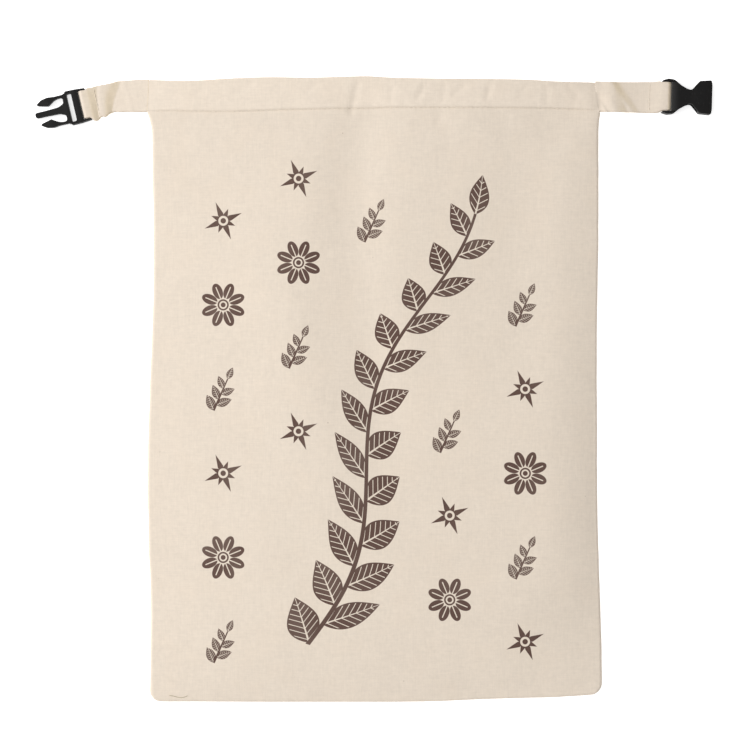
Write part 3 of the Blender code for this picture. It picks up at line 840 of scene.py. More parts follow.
def inner_points(cloth, level, column):
    """Front and back points of the inner skin, which meet along the seams."""
    x, y, left, right, foot = bag_place(level, column, SEAM_INSET)
    side = min(left, right)
    wall = cloth.thickness + (HEM_EXTRA if level > 1.0 else 0.0)
    under_front = front_height(cloth, x, y, left + SEAM_INSET, right + SEAM_INSET, foot + SEAM_INSET) - wall
    open_front, open_back = (smooth(side / reach) * smooth(foot / reach) for reach in SEAM_OPENS)
    front = SEAM_HEIGHT + (under_front - SEAM_HEIGHT) * open_front
    back = SEAM_HEIGHT + (wall + back_height(x, y) - SEAM_HEIGHT) * open_back
    return (x, y, front), (x, y, back)


def sheet_faces(bm, rows, edges):
    """Faces between the rows of a sheet. edges holds the points that lie between two rows along the sides."""
    faces = []
    last = len(rows[0]) - 1
    for k, (lower, upper) in enumerate(zip(rows, rows[1:])):
        left, right = edges[k]
        for place in range(last):
            corners = [lower[place], lower[place + 1]]
            corners += right if place == last - 1 else []
            corners += [upper[place + 1], upper[place]]
            corners += reversed(left) if place == 0 else []
            faces.append(bm.faces.new(corners))
    return faces


def skin(bm, points_of, fine):
    """Front and back sheets that share the points of their sides and foot.

    Only a fine skin's front has all rows. Gives the front's faces and the points round the open end.
    """
    all_columns = columns()
    last = len(all_columns) - 1
    front_rows, back_rows, back_edges = [], [], []
    left, right = [], []
    for row, (level, coarse) in enumerate(levels()):
        if not (fine or coarse):
            continue
        front, back = [], []
        for place, column in enumerate(all_columns):
            front_at_place, back_at_place = points_of(level, column)
            front.append(bm.verts.new(front_at_place))
            shared = row == 0 or place in (0, last)
            if coarse:
                back.append(front[-1] if shared else bm.verts.new(back_at_place))
        front_rows.append(front)
        if coarse:
            if back_rows:
                back_edges.append((left, right))
            back_rows.append(back)
            left, right = [], []
        else:
            left.append(front[0])
            right.append(front[-1])
    front_faces = sheet_faces(bm, front_rows, [((), ())] * (len(front_rows) - 1))
    sheet_faces(bm, back_rows, back_edges)
    return front_faces, front_rows[-1] + back_rows[-1][-2:0:-1]


def build_bag(cloth):
    """Outer and inner skins, joined by a rounded rim at the mouth. Only the outer front is printed."""
    bm = bmesh.new()
    printed, outer = skin(bm, lambda level, column: outer_points(cloth, level, column), True)
    _, inner = skin(bm, lambda level, column: inner_points(cloth, level, column), False)
    loops = [outer]
    for share in RIM_SHARES:
        loop = []
        for a, b in zip(outer, inner):
            x = a.co.x + (b.co.x - a.co.x) * share
            z = a.co.z + (b.co.z - a.co.z) * share
            y = along(CROSS_LINES, x, MOUTH) - RIM_ROUND * (1.0 - math.sin(math.pi * share))
            loop.append(bm.verts.new((x, y, z)))
        loops.append(loop)
    loops.append(inner)
    for first, second in zip(loops, loops[1:]):
        join_loops(bm, first, second)
    for face in bm.faces:
        face.material_index = 1
    for face in printed:
        face.material_index = 0
    mesh = finished_mesh("bag_cloth", bm, SHARP_CLOTH)
    # Painted shade in the hem's stitched groove and where the right tab is sewn in, and the doubled hem's
    # paler tone.
    crease = mesh.attributes.new("crease", "FLOAT", "POINT")
    doubled = mesh.attributes.new("doubled", "FLOAT", "POINT")
    start, length = HEM_DOUBLED
    for vertex in mesh.vertices:
        x, y, _ = vertex.co
        crease.data[vertex.index].value = crease_share(x, y)
        doubled.data[vertex.index].value = smooth((y - along(CROSS_LINES, x, HEM) - start) / length)
    return mesh


# Tabs


def tab_place(tab, distance, across):
    """World x and y of a place on the tab: distance from the side seam, and across towards the mouth."""
    side, bend, over = tab["side"], tab["bend"], tab["bend_over"]
    start = tab["bend_at"] - over / 2
    turned = min(max((distance - start) / over, 0.0), 1.0)
    angle = bend * turned
    radius = over / bend
    forward = min(distance, start) + radius * math.sin(angle)
    drop = radius * (1.0 - math.cos(angle))
    beyond = max(distance - start - over, 0.0)
    forward += beyond * math.cos(angle)
    drop += beyond * math.sin(angle)
    across += along(tab["sway"], distance, 1)
    y = tab["centre"] - drop + across * math.cos(angle)
    x = tab["root"] + side * (forward + across * math.sin(angle))
    seam = along(SIDE_LINES, y, tab["column"]) + side * SEAM_CLEARANCE
    return x + (seam - tab["root"]) * (1.0 - smooth(distance / ROOT_BLEND)), y


def tab_turn(tab):
    """Radius and centre height of the tab's turn round the bar, and the distance it turns at."""
    _, far, low, high, _ = tab["bar"]
    radius = (high - low) / 2 + GAP + TAB_THICKNESS / 2
    return radius, (low + high) / 2, tab["length"] + far - (high - low) / 2


def tab_rows(tab):
    """Heights of the tab's middle line on the way out and on the way back. Each row: distance, height."""
    end, near = tab["length"], tab["bar"][0]
    radius, middle, turn_at = tab_turn(tab)
    free_end, before_bar = tab["return_heights"]
    out = (*tab["rise"], (turn_at, middle + radius))
    back = (
        (end - tab["returns"], free_end),
        (end - BEFORE_BAR, before_bar),
        (end + near - BESIDE_BAR, middle - radius),
        (turn_at, middle - radius),
    )
    return out, back


def tab_stations(tab):
    """The tab's sections: place on the way out (0), round the bar (1) or back (2), and distance or angle."""
    _, _, turn_at = tab_turn(tab)
    count = round(turn_at / TAB_CELL)
    found = [(0, turn_at * k / count) for k in range(count)]
    found += [(1, math.pi / 2 - math.pi * k / TAB_TURN_STEPS) for k in range(TAB_TURN_STEPS + 1)]
    start = tab["length"] - tab["returns"]
    count = round((turn_at - start) / TAB_CELL)
    found += [(2, turn_at + (start - turn_at) * k / count) for k in range(1, count + 1)]
    return found


def tab_middle(tab, station, across):
    """Distance and height of the tab's middle line at a station, this far across."""
    leg, value = station
    radius, middle, turn_at = tab_turn(tab)
    out, back = tab_rows(tab)
    if leg == 1:
        return turn_at + radius * math.cos(value), middle + radius * math.sin(value)
    if leg == 2:
        return value, along(back, value, 1)
    slant = along(tab["slants"], value + tab["lean"] * across, 1)
    height = along(out, value - slant * across, 1)
    for lift, half_width, place, slant in tab["creases"]:
        height += lift * bump(value - place - slant * across, half_width)
    rise, size, seed = TAB_TOP_WAVE
    fade = smooth(value / TAB_WAVE_FADE) * smooth((turn_at - value) / TAB_WAVE_FADE)
    return value, height + rise * wave(value, across, size, seed) * fade


def tab_section():
    """The strip's section: two layers folded along the mouth side and open along the foot side."""
    reach = TAB_EDGE_MOUTH[0][0]
    start = TAB_EDGE_FOOT[0][0]
    top = [(reach + (start - reach) * k / TAB_ACROSS, 1.0) for k in range(1, TAB_ACROSS)]
    upper = list(reversed(TAB_EDGE_MOUTH[:-1])) + top + list(TAB_EDGE_FOOT)
    # The lower layer's edge stands out a little past the upper one's.
    out, below = LOWER_LAYER
    lower_edge = [(at - out * min(depth / below, 1.0), -depth) for at, depth in reversed(TAB_EDGE_FOOT)]
    bottom = [(across, -1.0) for across, _ in reversed(top)]
    mouth_side = [(across, -depth) for across, depth in TAB_EDGE_MOUTH[:-1]]
    return [TAB_EDGE_MOUTH[-1]] + upper + lower_edge + bottom + mouth_side


def tab_normal(tab, stations, k, across):
    """Which way the tab's upper side faces at a section: its share along the tab and its share upwards."""
    before = tab_middle(tab, stations[max(k - 1, 0)], across)
    after = tab_middle(tab, stations[min(k + 1, len(stations) - 1)], across)
    run, rise = after[0] - before[0], after[1] - before[1]
    length = math.hypot(run, rise)
    return -rise / length, run / length


def build_tab(name, tab):
    """A strip of cloth from the side seam to the bar, round it and back underneath."""
    bm = bmesh.new()
    stations = tab_stations(tab)
    section = tab_section()
    loops = []
    reach, size, seed = TAB_EDGE_WAVE
    for k, station in enumerate(stations):
        distance, _ = tab_middle(tab, station, 0.0)
        width = along(tab["widths"], distance, 1) - (RETURN_NARROWER if station[0] == 2 else 0.0)
        width += reach * wave(distance, station[0], size, seed)
        loop = []
        for across_share, thickness_share in section:
            across = across_share * width / 2
            offset = thickness_share * TAB_THICKNESS / 2
            run, rise = tab_normal(tab, stations, k, across)
            distance, height = tab_middle(tab, station, across)
            x, y = tab_place(tab, max(distance + run * offset, 0.0), across)
            loop.append(bm.verts.new((x, y, height + rise * offset)))
        loops.append(loop)
    closed_tube(bm, loops)
    mesh = finished_mesh(name, bm, SHARP_CLOTH)
    # Painted shade: the sides that face away from the key light are tinted warm, and shade gathers where the
    # right tab is sewn in.
    turned_from_key = mesh.attributes.new("turned_from_key", "FLOAT", "POINT")
    crease = mesh.attributes.new("crease", "FLOAT", "POINT")
    for vertex in mesh.vertices:
        turned_from_key.data[vertex.index].value = smooth(vertex.normal.x / SHADE_TINT_SLOPE)
        crease.data[vertex.index].value = root_shade(vertex.co.x, vertex.co.y)
    return mesh


# Buckle halves


def rounded(corners):
    """A closed outline with its corners turned into arcs. Each row: x, y, radius."""
    points = []
    for k, (x, y, radius) in enumerate(corners):
        ax, ay, _ = corners[k - 1]
        bx, by, _ = corners[(k + 1) % len(corners)]
        to_a, to_b = math.atan2(ay - y, ax - x), math.atan2(by - y, bx - x)
        between = abs((to_b - to_a + math.pi) % (2 * math.pi) - math.pi)
        turn = math.pi - between
        if radius <= 0.0 or turn < STRAIGHT:
            points.append((x, y))
            continue
        reach = radius / math.tan(between / 2)
        reach = min(reach, ARC_SHARE * math.hypot(ax - x, ay - y), ARC_SHARE * math.hypot(bx - x, by - y))
        radius = reach * math.tan(between / 2)
        start = (x + reach * math.cos(to_a), y + reach * math.sin(to_a))
        stop = (x + reach * math.cos(to_b), y + reach * math.sin(to_b))
        middle = math.atan2(math.sin(to_a) + math.sin(to_b), math.cos(to_a) + math.cos(to_b))
        away = radius / math.sin(between / 2)
        cx, cy = x + away * math.cos(middle), y + away * math.sin(middle)
        from_angle = math.atan2(start[1] - cy, start[0] - cx)
        to_angle = math.atan2(stop[1] - cy, stop[0] - cx)
        turned = (to_angle - from_angle + math.pi) % (2 * math.pi) - math.pi
        count = max(1, math.ceil(turn / ARC_STEP))
        for step in range(count + 1):
            angle = from_angle + turned * step / count
            points.append((cx + radius * math.cos(angle), cy + radius * math.sin(angle)))
    return points


def mirrored(half):
    """The whole outline of a half outline, mirrored about the axis."""
    return rounded(list(half) + [(x, -y, radius) for x, y, radius in reversed(half)])


def rectangle(x0, x1, y0, y1, radius):
    """The outline of a rectangle with rounded corners."""
    return rounded([(x0, y0, radius), (x1, y0, radius), (x1, y1, radius), (x0, y1, radius)])


def plate(name, outline, low, high, holes=(), edge=0.0, edge_steps=1):
    """A flat plate of this outline with holes, its edges rounded by a Bevel modifier."""
    bm = bmesh.new()
    edges = []
    for loop in (outline, *holes):
        corners = [bm.verts.new((x, y, low)) for x, y in loop]
        edges += [bm.edges.new((a, b)) for a, b in zip(corners, corners[1:] + corners[:1])]
    bmesh.ops.triangle_fill(bm, edges=edges, use_beauty=True, use_dissolve=False)
    raised = bmesh.ops.extrude_face_region(bm, geom=bm.faces[:])["geom"]
    for item in raised:
        if isinstance(item, bmesh.types.BMVert):
            item.co.z = high
    obj = bpy.data.objects.new(name, finished_mesh(name, bm, SHARP_PLASTIC))
    bpy.context.scene.collection.objects.link(obj)
    if edge:
        bevel = obj.modifiers.new("rounded_edges", "BEVEL")
        bevel.width = edge
        bevel.segments = edge_steps
        bevel.limit_method = "ANGLE"
        bevel.angle_limit = BEVELLED
    return obj


def crosswise(name, section, half_width):
    """A section in the buckle's side view, carried across it."""
    obj = plate(name, section, -half_width, half_width)
    obj.rotation_euler.x = math.pi / 2
    return obj


def end_bar(name, bar):
    """The bar that the tab goes round: a stadium section across the buckle."""
    near, far, low, high, half_width = bar
    return crosswise(name, rectangle(near, far, low, high, (high - low) * BAR_ROUND), half_width)


def combined(base, changes):
    """The mesh of the base after its Boolean changes. Each change: helper, operation. Removes the objects."""
    for helper, operation in changes:
        change = base.modifiers.new(helper.name, "BOOLEAN")
        change.operation = operation
        change.solver = "EXACT"
        change.object = helper
    bpy.context.view_layer.update()
    graph = bpy.context.evaluated_depsgraph_get()
    mesh = bpy.data.meshes.new_from_object(base.evaluated_get(graph))
    for obj in (base, *(helper for helper, _ in changes)):
        bpy.data.objects.remove(obj, do_unlink=True)
    mesh.shade_smooth()
    mesh.set_sharp_from_angle(angle=SHARP_PLASTIC)
    return mesh


def put_on_tab(mesh, tab):
    """Moves a buckle half's mesh so that its axis runs along the end of its tab."""
    step = 0.020  # two places this far apart, beyond the tab's end, give the direction
    near_x, near_y = tab_place(tab, tab["length"] + step, 0.0)
    far_x, far_y = tab_place(tab, tab["length"] + 2 * step, 0.0)
    angle = math.atan2(far_y - near_y, far_x - near_x)
    x, y = 2 * near_x - far_x, 2 * near_y - far_y
    for vertex in mesh.vertices:
        along_axis, across, _ = vertex.co
        vertex.co.x = x + along_axis * math.cos(angle) - across * math.sin(angle)
        vertex.co.y = y + along_axis * math.sin(angle) + across * math.cos(angle)


def build_plug(buckle):
    """Frame, end bar, and two barbed prongs and a guide rod that thin towards their tips."""
    near, far, half_width = PLUG_SLOT
    edge, steps = buckle.edge, buckle.edge_steps
    slot = rectangle(near, far, -half_width, half_width, PLUG_SLOT_ROUND)
    plug = plate("plug_frame", mirrored(PLUG_FRAME), 0.0, PLUG_HEIGHT, (slot,), edge, steps)
    outline = mirrored(PLUG_PRONGS)
    prongs = plate("plug_prongs", outline, PLUG_ARM_LOW, PLUG_ARM_HIGH, (), edge * PRONG_EDGE, steps)
    mesh = combined(plug, ((prongs, "UNION"), (end_bar("plug_bar", PLUG_BAR), "UNION")))
    start, stop, share = PRONG_TAPER
    middle = (PLUG_ARM_LOW + PLUG_ARM_HIGH) / 2
    for vertex in mesh.vertices:
        thinner = share * smooth((vertex.co.x - start) / (stop - start))
        vertex.co.z = middle + (vertex.co.z - middle) * (1.0 - thinner)
    put_on_tab(mesh, TABS["left"])
    return mesh


def draw_in(place):
    """Moves a place on the socket as its housing is drawn in."""
    shares = [smooth((place.x - start) / length) for start, length, _, _ in SOCKET_DRAWN_IN]
    for share, (_, _, shift, narrower) in zip(shares, SOCKET_DRAWN_IN):
        place.x += shift * share
        place.y *= 1.0 - narrower * share


def build_socket(buckle):
    """Waisted hollow housing with a domed top, open at its mouth, and an end bar between two rails."""
    edge, steps = buckle.edge * SOCKET_EDGE, buckle.edge_steps
    socket = plate("socket_shell", mirrored(SOCKET_OUTLINE), 0.0, SOCKET_HEIGHT, (), edge, steps)
    beyond_mouth = SOCKET_OUTLINE[-1][0] + CAVITY_BEYOND
    half = SOCKET_CAVITY_HALF
    hollow = rectangle(SOCKET_CAVITY_START, beyond_mouth, -half, half, SOCKET_CAVITY_ROUND)
    cavity = plate("cavity", hollow, SOCKET_WALL, SOCKET_HEIGHT - SOCKET_WALL)
    ramp = crosswise("ramp", SOCKET_RAMP, SOCKET_OUTLINE[0][1] - RAMP_INSET)
    bar = end_bar("socket_bar", SOCKET_BAR)
    mesh = combined(socket, ((cavity, "DIFFERENCE"), (ramp, "DIFFERENCE"), (bar, "UNION")))
    middle = SOCKET_HEIGHT / 2
    widest = max(across for _, across, _ in SOCKET_OUTLINE)
    for vertex in mesh.vertices:
        if vertex.co.z > middle:
            fall = SOCKET_DOME * (vertex.co.y / widest) ** 2
            vertex.co.z = middle + (vertex.co.z - middle) * (1.0 - fall)
        draw_in(vertex.co)
    put_on_tab(mesh, TABS["right"])
    return mesh


# Sewing


def stitch_row(bm, sewing, start, stop, surface, lift=1.0):
    """Stitches from one place to another over a surface, which gives heights. Lift -1 puts them below it."""
    run = Vector(stop) - Vector(start)
    count = max(1, round(run.length / (STITCH + STITCH_GAP)))
    step = run / count
    cover = STITCH / (STITCH + STITCH_GAP)
    for k in range(count):
        centres = []
        for share in STITCH_SHARES:
            place = Vector(start) + step * (k + 0.5 + (share - 0.5) * cover)
            arch = lift * THREAD * (STITCH_ARCH * math.sin(math.pi * share) - STITCH_SUNK)
            centres.append(Vector((place.x, place.y, surface(place.x, place.y) + arch)))
        sweep(bm, centres, THREAD, sewing.sides)


def build_hem_stitches(cloth, sewing):
    """One row of stitches along the hem's edge, on the front and on the back."""
    bm = bmesh.new()
    reach = SIDE_REACH - HEM_STITCHES_INSET
    count = round(2 * reach / (STITCH + STITCH_GAP))
    step = 2 * reach / count
    for k in range(count):
        a, b = ((x, along(CROSS_LINES, x, HEM)) for x in (-reach + step * k, -reach + step * (k + 1)))
        stitch_row(bm, sewing, a, b, lambda x, y: front_at(cloth, x, y))
        stitch_row(bm, sewing, a, b, back_height, -1.0)
    return finished_mesh("hem_stitches", bm, SHARP_THREAD)


def tab_top(tab, distance, across):
    """World place on top of the tab at a distance from the seam."""
    _, height = tab_middle(tab, (0, distance), across)
    x, y = tab_place(tab, distance, across)
    return x, y, height + TAB_THICKNESS / 2


def build_tab_stitches(sewing):
    """Each tab is stitched across its doubled stretch."""
    bm = bmesh.new()
    for tab in TABS.values():
        at = tab["stitched_at"]
        half = along(tab["widths"], at, 1) / 2 - TAB_STITCHES_INSET
        count = round(2 * half / (STITCH + STITCH_GAP))
        for k in range(count):
            ax, ay, az = tab_top(tab, at, -half + 2 * half * k / count)
            bx, by, bz = tab_top(tab, at, -half + 2 * half * (k + 1) / count)

            def surface(_, y, ay=ay, by=by, az=az, bz=bz):
                """Straight from one end of the stitch to the other."""
                return az + (bz - az) * (y - ay) / (by - ay)

            stitch_row(bm, sewing, (ax, ay), (bx, by), surface)
    return finished_mesh("tab_stitches", bm, SHARP_THREAD)


def build_thread_end(cloth, sewing):
    """A loose end of thread on a smooth curve."""
    bm = bmesh.new()
    last = len(THREAD_END) - 1
    rows = [(k, x, y) for k, (x, y) in enumerate(THREAD_END)]
    least, added, often = THREAD_END_LIFT
    centres = []
    for k in range(4 * last + 1):
        x, y = along(rows, k / 4, 1), along(rows, k / 4, 2)
        lift = THREAD * (least + added * math.sin(often * k) ** 2)
        centres.append(Vector((x, y, front_at(cloth, x, y) + lift)))
    sweep(bm, centres, THREAD * THREAD_END_SIZE, sewing.sides)
    return finished_mesh("loose_thread_end", bm, SHARP_THREAD)


# Finishes


class Term:
    """A value that varies over a surface. A formula of Terms and numbers builds Math nodes."""

    def __init__(self, tree, socket):
        self.tree = tree
        self.socket = socket

    def apply(self, operation, *others, clamp=False):
        """A Math node on this value and the others."""
        node = self.tree.nodes.new("ShaderNodeMath")
        node.operation = operation
        node.use_clamp = clamp
        for place, value in enumerate((self, *others)):
            if isinstance(value, Term):
                self.tree.links.new(value.socket, node.inputs[place])
            else:
                node.inputs[place].default_value = value
        return Term(self.tree, node.outputs[0])

    def __add__(self, other):
        return self.apply("ADD", other)

    def __sub__(self, other):
        return self.apply("SUBTRACT", other)

    def __mul__(self, other):
        return self.apply("MULTIPLY", other)

    def __truediv__(self, other):
        return self.apply("DIVIDE", other)

    def __rsub__(self, other):
        return self.apply("MULTIPLY_ADD", -1.0, other)

    def __abs__(self):
        return self.apply("ABSOLUTE")

    def __pow__(self, other):
        return self.apply("POWER", other)

    __radd__ = __add__

    def sine(self):
        return self.apply("SINE")

    def cosine(self):
        return self.apply("COSINE")

    def floor(self):
        return self.apply("FLOOR")

    def modulo(self, other):
        return self.apply("FLOORED_MODULO", other)

    def least(self, other):
        return self.apply("MINIMUM", other)

    def most(self, other):
        return self.apply("MAXIMUM", other)

    def clamped(self):
        return self.apply("ADD", 0.0, clamp=True)

    def over(self, other):
        return self.apply("GREATER_THAN", other)

    def ramp(self, low, high):
        """0 below low, 1 above high, smooth between."""
        node = self.tree.nodes.new("ShaderNodeMapRange")
        node.interpolation_type = "SMOOTHSTEP"
        self.tree.links.new(self.socket, node.inputs["Value"])
        node.inputs["From Min"].default_value = low
        node.inputs["From Max"].default_value = high
        return Term(self.tree, node.outputs["Result"])


def choose(share, zero, one):
    """zero where share is 0, one where it is 1."""
    return zero + (one - zero) * share


def place_of(tree, socket):
    """x, y and z of a place as Terms."""
    split = tree.nodes.new("ShaderNodeSeparateXYZ")
    tree.links.new(socket, split.inputs[0])
    return [Term(tree, out) for out in split.outputs]


def point(tree, x, y, z):
    """A place from three Terms or numbers."""
    join = tree.nodes.new("ShaderNodeCombineXYZ")
    for value, socket in zip((x, y, z), join.inputs):
        if isinstance(value, Term):
            tree.links.new(value.socket, socket)
        else:
            socket.default_value = value
    return join.outputs[0]


def cloudy(tree, at, size, detail=2.0):
    """Noise from 0 to 1 whose lumps are this far apart."""
    node = tree.nodes.new("ShaderNodeTexNoise")
    tree.links.new(at, node.inputs["Vector"])
    node.inputs["Scale"].default_value = 1.0 / size
    node.inputs["Detail"].default_value = detail
    return Term(tree, node.outputs["Fac"])


def mixed(tree, share, first, second, blend="MIX"):
    """Colour between two colours, each a socket or three numbers."""
    node = tree.nodes.new("ShaderNodeMix")
    node.data_type = "RGBA"
    node.blend_type = blend
    tree.links.new(share.socket, node.inputs[0])
    for value, socket in ((first, node.inputs[6]), (second, node.inputs[7])):
        if isinstance(value, bpy.types.NodeSocket):
            tree.links.new(value, socket)
        else:
            socket.default_value = (*value, 1.0)
    return node.outputs[2]


def plain_colour(tree, colour):
    """A colour of three numbers as a socket."""
    node = tree.nodes.new("ShaderNodeRGB")
    node.outputs[0].default_value = (*colour, 1.0)
    return node.outputs[0]


def scaled(tree, colour, factor):
    """A colour times a Term."""
    node = tree.nodes.new("ShaderNodeVectorMath")
    node.operation = "SCALE"
    tree.links.new(colour, node.inputs[0])
    tree.links.new(factor.socket, node.inputs["Scale"])
    return node.outputs[0]


SOCKET_KINDS = {float: "NodeSocketFloat", tuple: "NodeSocketColor", None: "NodeSocketVector"}


def new_group(name, inputs, outputs):
    """An empty node group. Each input: label and default, None for a place. Each output: label and kind."""
    tree = bpy.data.node_groups.new(name, "ShaderNodeTree")
    for label, default in inputs:
        kind = SOCKET_KINDS[default if default is None else type(default)]
        socket = tree.interface.new_socket(label, in_out="INPUT", socket_type=kind)
        if default is not None:
            socket.default_value = (*default, 1.0) if isinstance(default, tuple) else default
    for label, kind in outputs:
        tree.interface.new_socket(label, in_out="OUTPUT", socket_type=SOCKET_KINDS[kind])
    given = tree.nodes.new("NodeGroupInput")
    result = tree.nodes.new("NodeGroupOutput")
    return tree, given.outputs, result.inputs


def give(tree, result, label, value):
    """Feeds one output of a group."""
    tree.links.new(value.socket if isinstance(value, Term) else value, result[label])


def use_group(tree, group, **values):
    """Places a group. A value is a socket, a Term, a number or a colour, under its input's label."""
    node = tree.nodes.new("ShaderNodeGroup")
    node.node_tree = group
    for label, value in values.items():
        socket = node.inputs[label.replace("_", " ")]
        if isinstance(value, Term):
            tree.links.new(value.socket, socket)
        elif isinstance(value, bpy.types.NodeSocket):
            tree.links.new(value, socket)
        elif hasattr(value, "__len__"):
            socket.default_value = (*value, 1.0)
        else:
            socket.default_value = value
    return node.outputs


def lay_out(tree):
    """Puts the nodes in columns, each left of what it feeds."""
    depth = {node: 0 for node in tree.nodes}
    for _ in tree.nodes:
        changed = False
        for link in tree.links:
            if depth[link.from_node] <= depth[link.to_node]:
                depth[link.from_node] = depth[link.to_node] + 1
                changed = True
        if not changed:
            break
    rows = {}
    for node in tree.nodes:
        column = depth[node]
        node.location = (-190.0 * column, -170.0 * rows.get(column, 0))
        rows[column] = rows.get(column, 0) + 1


THREADS_WANDER = (0.0160, 0.0016)  # size of the threads' waves, and how far they go astray
SLUBS = (3.7, 90.0)  # how unlike neighbour threads are, and how often a thread's thickness changes
THREAD_ROUNDNESS = 0.45
EVEN_THREAD, MEAN_HEIGHT = 0.85, 0.55  # height of a thread without slubs, and of the whole weave
SHADE_SPREAD = 2.0
# The second share is painted shade: the weave's low places are darker.
THREAD_TONE, PIT_SHADE = 0.10, 0.07  # shares of tone from thread to thread and from low to high
TONE_CLOUDS = ((0.0340, 3.0, 0.055), (0.0075, 2.0, 0.05), (0.0026, 2.0, 0.13))  # size, detail, share
WARM_CLOUDS = (0.0210, 0.42, 0.72, 0.10)  # size, from this value, to this value, share
WARM_COLOUR = (0.80, 0.66, 0.52)
FLECKS_APART = 0.0105
FLECK_SIZES = (0.62, 0.14, 0.004)  # a cell lucky above this has a fleck, which grows so, from the least size
FLECK_EDGE = (0.55, 1.0)  # its edge is soft between these shares of its size
FLECK_STRENGTH = 0.42


def weave_group():
    """Plain weave with uneven threads."""
    tree, given, result = new_group(
        "plain_weave",
        (("Place", None), ("Pitch", 0.0005), ("Slub", 0.5)),
        (("Height", float), ("Shade", float)),
    )
    x, y, _ = place_of(tree, given["Place"])
    pitch, slub = Term(tree, given["Pitch"]), Term(tree, given["Slub"])
    size, reach = THREADS_WANDER
    wander_x = cloudy(tree, given["Place"], size, 1.0)
    wander_y = cloudy(tree, point(tree, y, x, 0.3), size, 1.0)
    u = (x + (wander_x - 0.5) * reach) / pitch
    v = (y + (wander_y - 0.5) * reach) / pitch
    warp_wave = (u * math.pi).sine()
    weft_wave = (v * math.pi).sine()
    warp_on_top = (warp_wave * weft_wave).over(0.0)
    warp, weft = abs(warp_wave), abs(weft_wave)
    # Each thread's own thickness changes slowly along it.
    apart, often = SLUBS
    warp_slub = cloudy(tree, point(tree, u.floor() * apart, y * often, 0.7), 1.0)
    weft_slub = cloudy(tree, point(tree, x * often, v.floor() * apart, 5.1), 1.0)
    thread_slub = choose(warp_on_top, weft_slub, warp_slub)
    bulge = choose(warp_on_top, (warp**THREAD_ROUNDNESS) * weft, warp * (weft**THREAD_ROUNDNESS))
    give(tree, result, "Height", bulge * ((thread_slub - 0.5) * slub + EVEN_THREAD))
    give(tree, result, "Shade", (((warp_slub + weft_slub) * 0.5 - 0.5) * SHADE_SPREAD + 0.5).clamped())
    lay_out(tree)
    return tree


def cloth_tone_group():
    """Unbleached cloth: thread by thread tone, cloudy patches, seed flecks, and painted shade in the weave's
    low places.
    """
    tree, given, result = new_group(
        "cloth_tone",
        (
            ("Place", None), ("Height", 0.5), ("Shade", 0.5), ("Colour", (0.8, 0.7, 0.6)),
            ("Fleck colour", (0.3, 0.2, 0.15)), ("Contrast", 1.0),
        ),
        (("Colour", tuple),),
    )
    place = given["Place"]
    height, shade = Term(tree, given["Height"]), Term(tree, given["Shade"])
    contrast = Term(tree, given["Contrast"])
    tone = (shade - 0.5) * THREAD_TONE
    for size, detail, share in TONE_CLOUDS:
        tone = tone + (cloudy(tree, place, size, detail) - 0.5) * share
    # Painted shade: the weave's low places are darker.
    tone = tone + (height - MEAN_HEIGHT) * PIT_SHADE
    colour = scaled(tree, given["Colour"], tone * contrast + 1.0)
    size, low, high, share = WARM_CLOUDS
    colour = mixed(tree, cloudy(tree, place, size).ramp(low, high) * share, colour, WARM_COLOUR)
    cells = tree.nodes.new("ShaderNodeTexVoronoi")
    cells.inputs["Scale"].default_value = 1.0 / FLECKS_APART
    tree.links.new(place, cells.inputs["Vector"])
    luck, _, _ = place_of(tree, cells.outputs["Color"])
    enough, growth, least = FLECK_SIZES
    size = (luck - enough).most(0.0) * growth + least
    fleck = 1.0 - (Term(tree, cells.outputs["Distance"]) / size).ramp(*FLECK_EDGE)
    colour = mixed(tree, fleck * FLECK_STRENGTH * contrast, colour, given["Fleck colour"])
    give(tree, result, "Colour", colour)
    lay_out(tree)
    return tree


# Block print
PRINT_EDGE = (-0.00010, 0.00014)  # the edge is a little soft, from here to there
RIM_EDGE = (-0.00010, 0.00010)
BARE_EDGE = (-0.00008, 0.00008)
PRINT_LINE = 0.00060  # half width of a printed line

# Leaves and their stem
LEAF_LEAN = math.radians(46)
LEAF_START, LAST_LEAF = 0.06, 0.45  # shares of the spacing: below a leaf's base, and left free at the end
SIDE_VEINS_APART = 0.125  # against a leaf's length
SIDE_VEIN_SLANT = 0.9
MIDRIB, SIDE_VEIN, LEAF_RIM = 1.3, 0.75, 2.2  # widths against a vein's. The midrib thins along the leaf
LEAF_SHAPE = 0.8  # under 1 the widest place lies towards the base
SMALLEST_LEAF = 0.34  # leaves shrink by this share up to the stem's end
END_LEAF = 0.72  # size of the leaf at the end
STEM_TAPER = (1.25, 0.5)  # width at the foot, and by how much it thins up to the end
STEM_EDGE = 0.0006  # the stem starts and ends softly over this length

BRANCH_FOOT = (-0.046, -0.176)
BRANCH_LEAN = math.radians(19)
BRANCH_LENGTH = 0.318
BRANCH_WAVE = (0.013, 0.250)  # height, length
BRANCH_STEM = dict(Spacing=0.0300, Stem=0.0013, Vein=0.00046)
BRANCH_ROOM = 0.047  # the scattered motifs keep this far from the branch's line
SCATTERED = (0.142, 0.168, -0.192)  # they lie within this half width, top and foot

MOTIF_RAYS = 8.0
PETAL = (0.0101, 0.0056, 0.0034)  # distance of its middle, half length, half width
PETAL_LINE = (0.00035, 0.0030, 0.0003)  # a bare line along each petal: half width, end, softness of its end
FLOWER_RING, FLOWER_EYE = 0.0033, 0.0017
STAR_RAY = (0.0140, 0.0050, 0.0032)  # reach, how much shorter every other ray is, half width
STAR_RING, STAR_EYE = 0.0034, 0.0019
SPRIG_LEAN = math.radians(24)
SPRIG_FOOT = 0.0165
SPRIG = dict(
    Length=0.0240, Spacing=0.0082, Leaf_length=0.0124, Leaf_half_width=0.0032, Stem=0.00060, Vein=0.00018,
)


def edge_of(inside):
    """Ink where a distance inside an outline is positive."""
    return inside.ramp(*PRINT_EDGE)


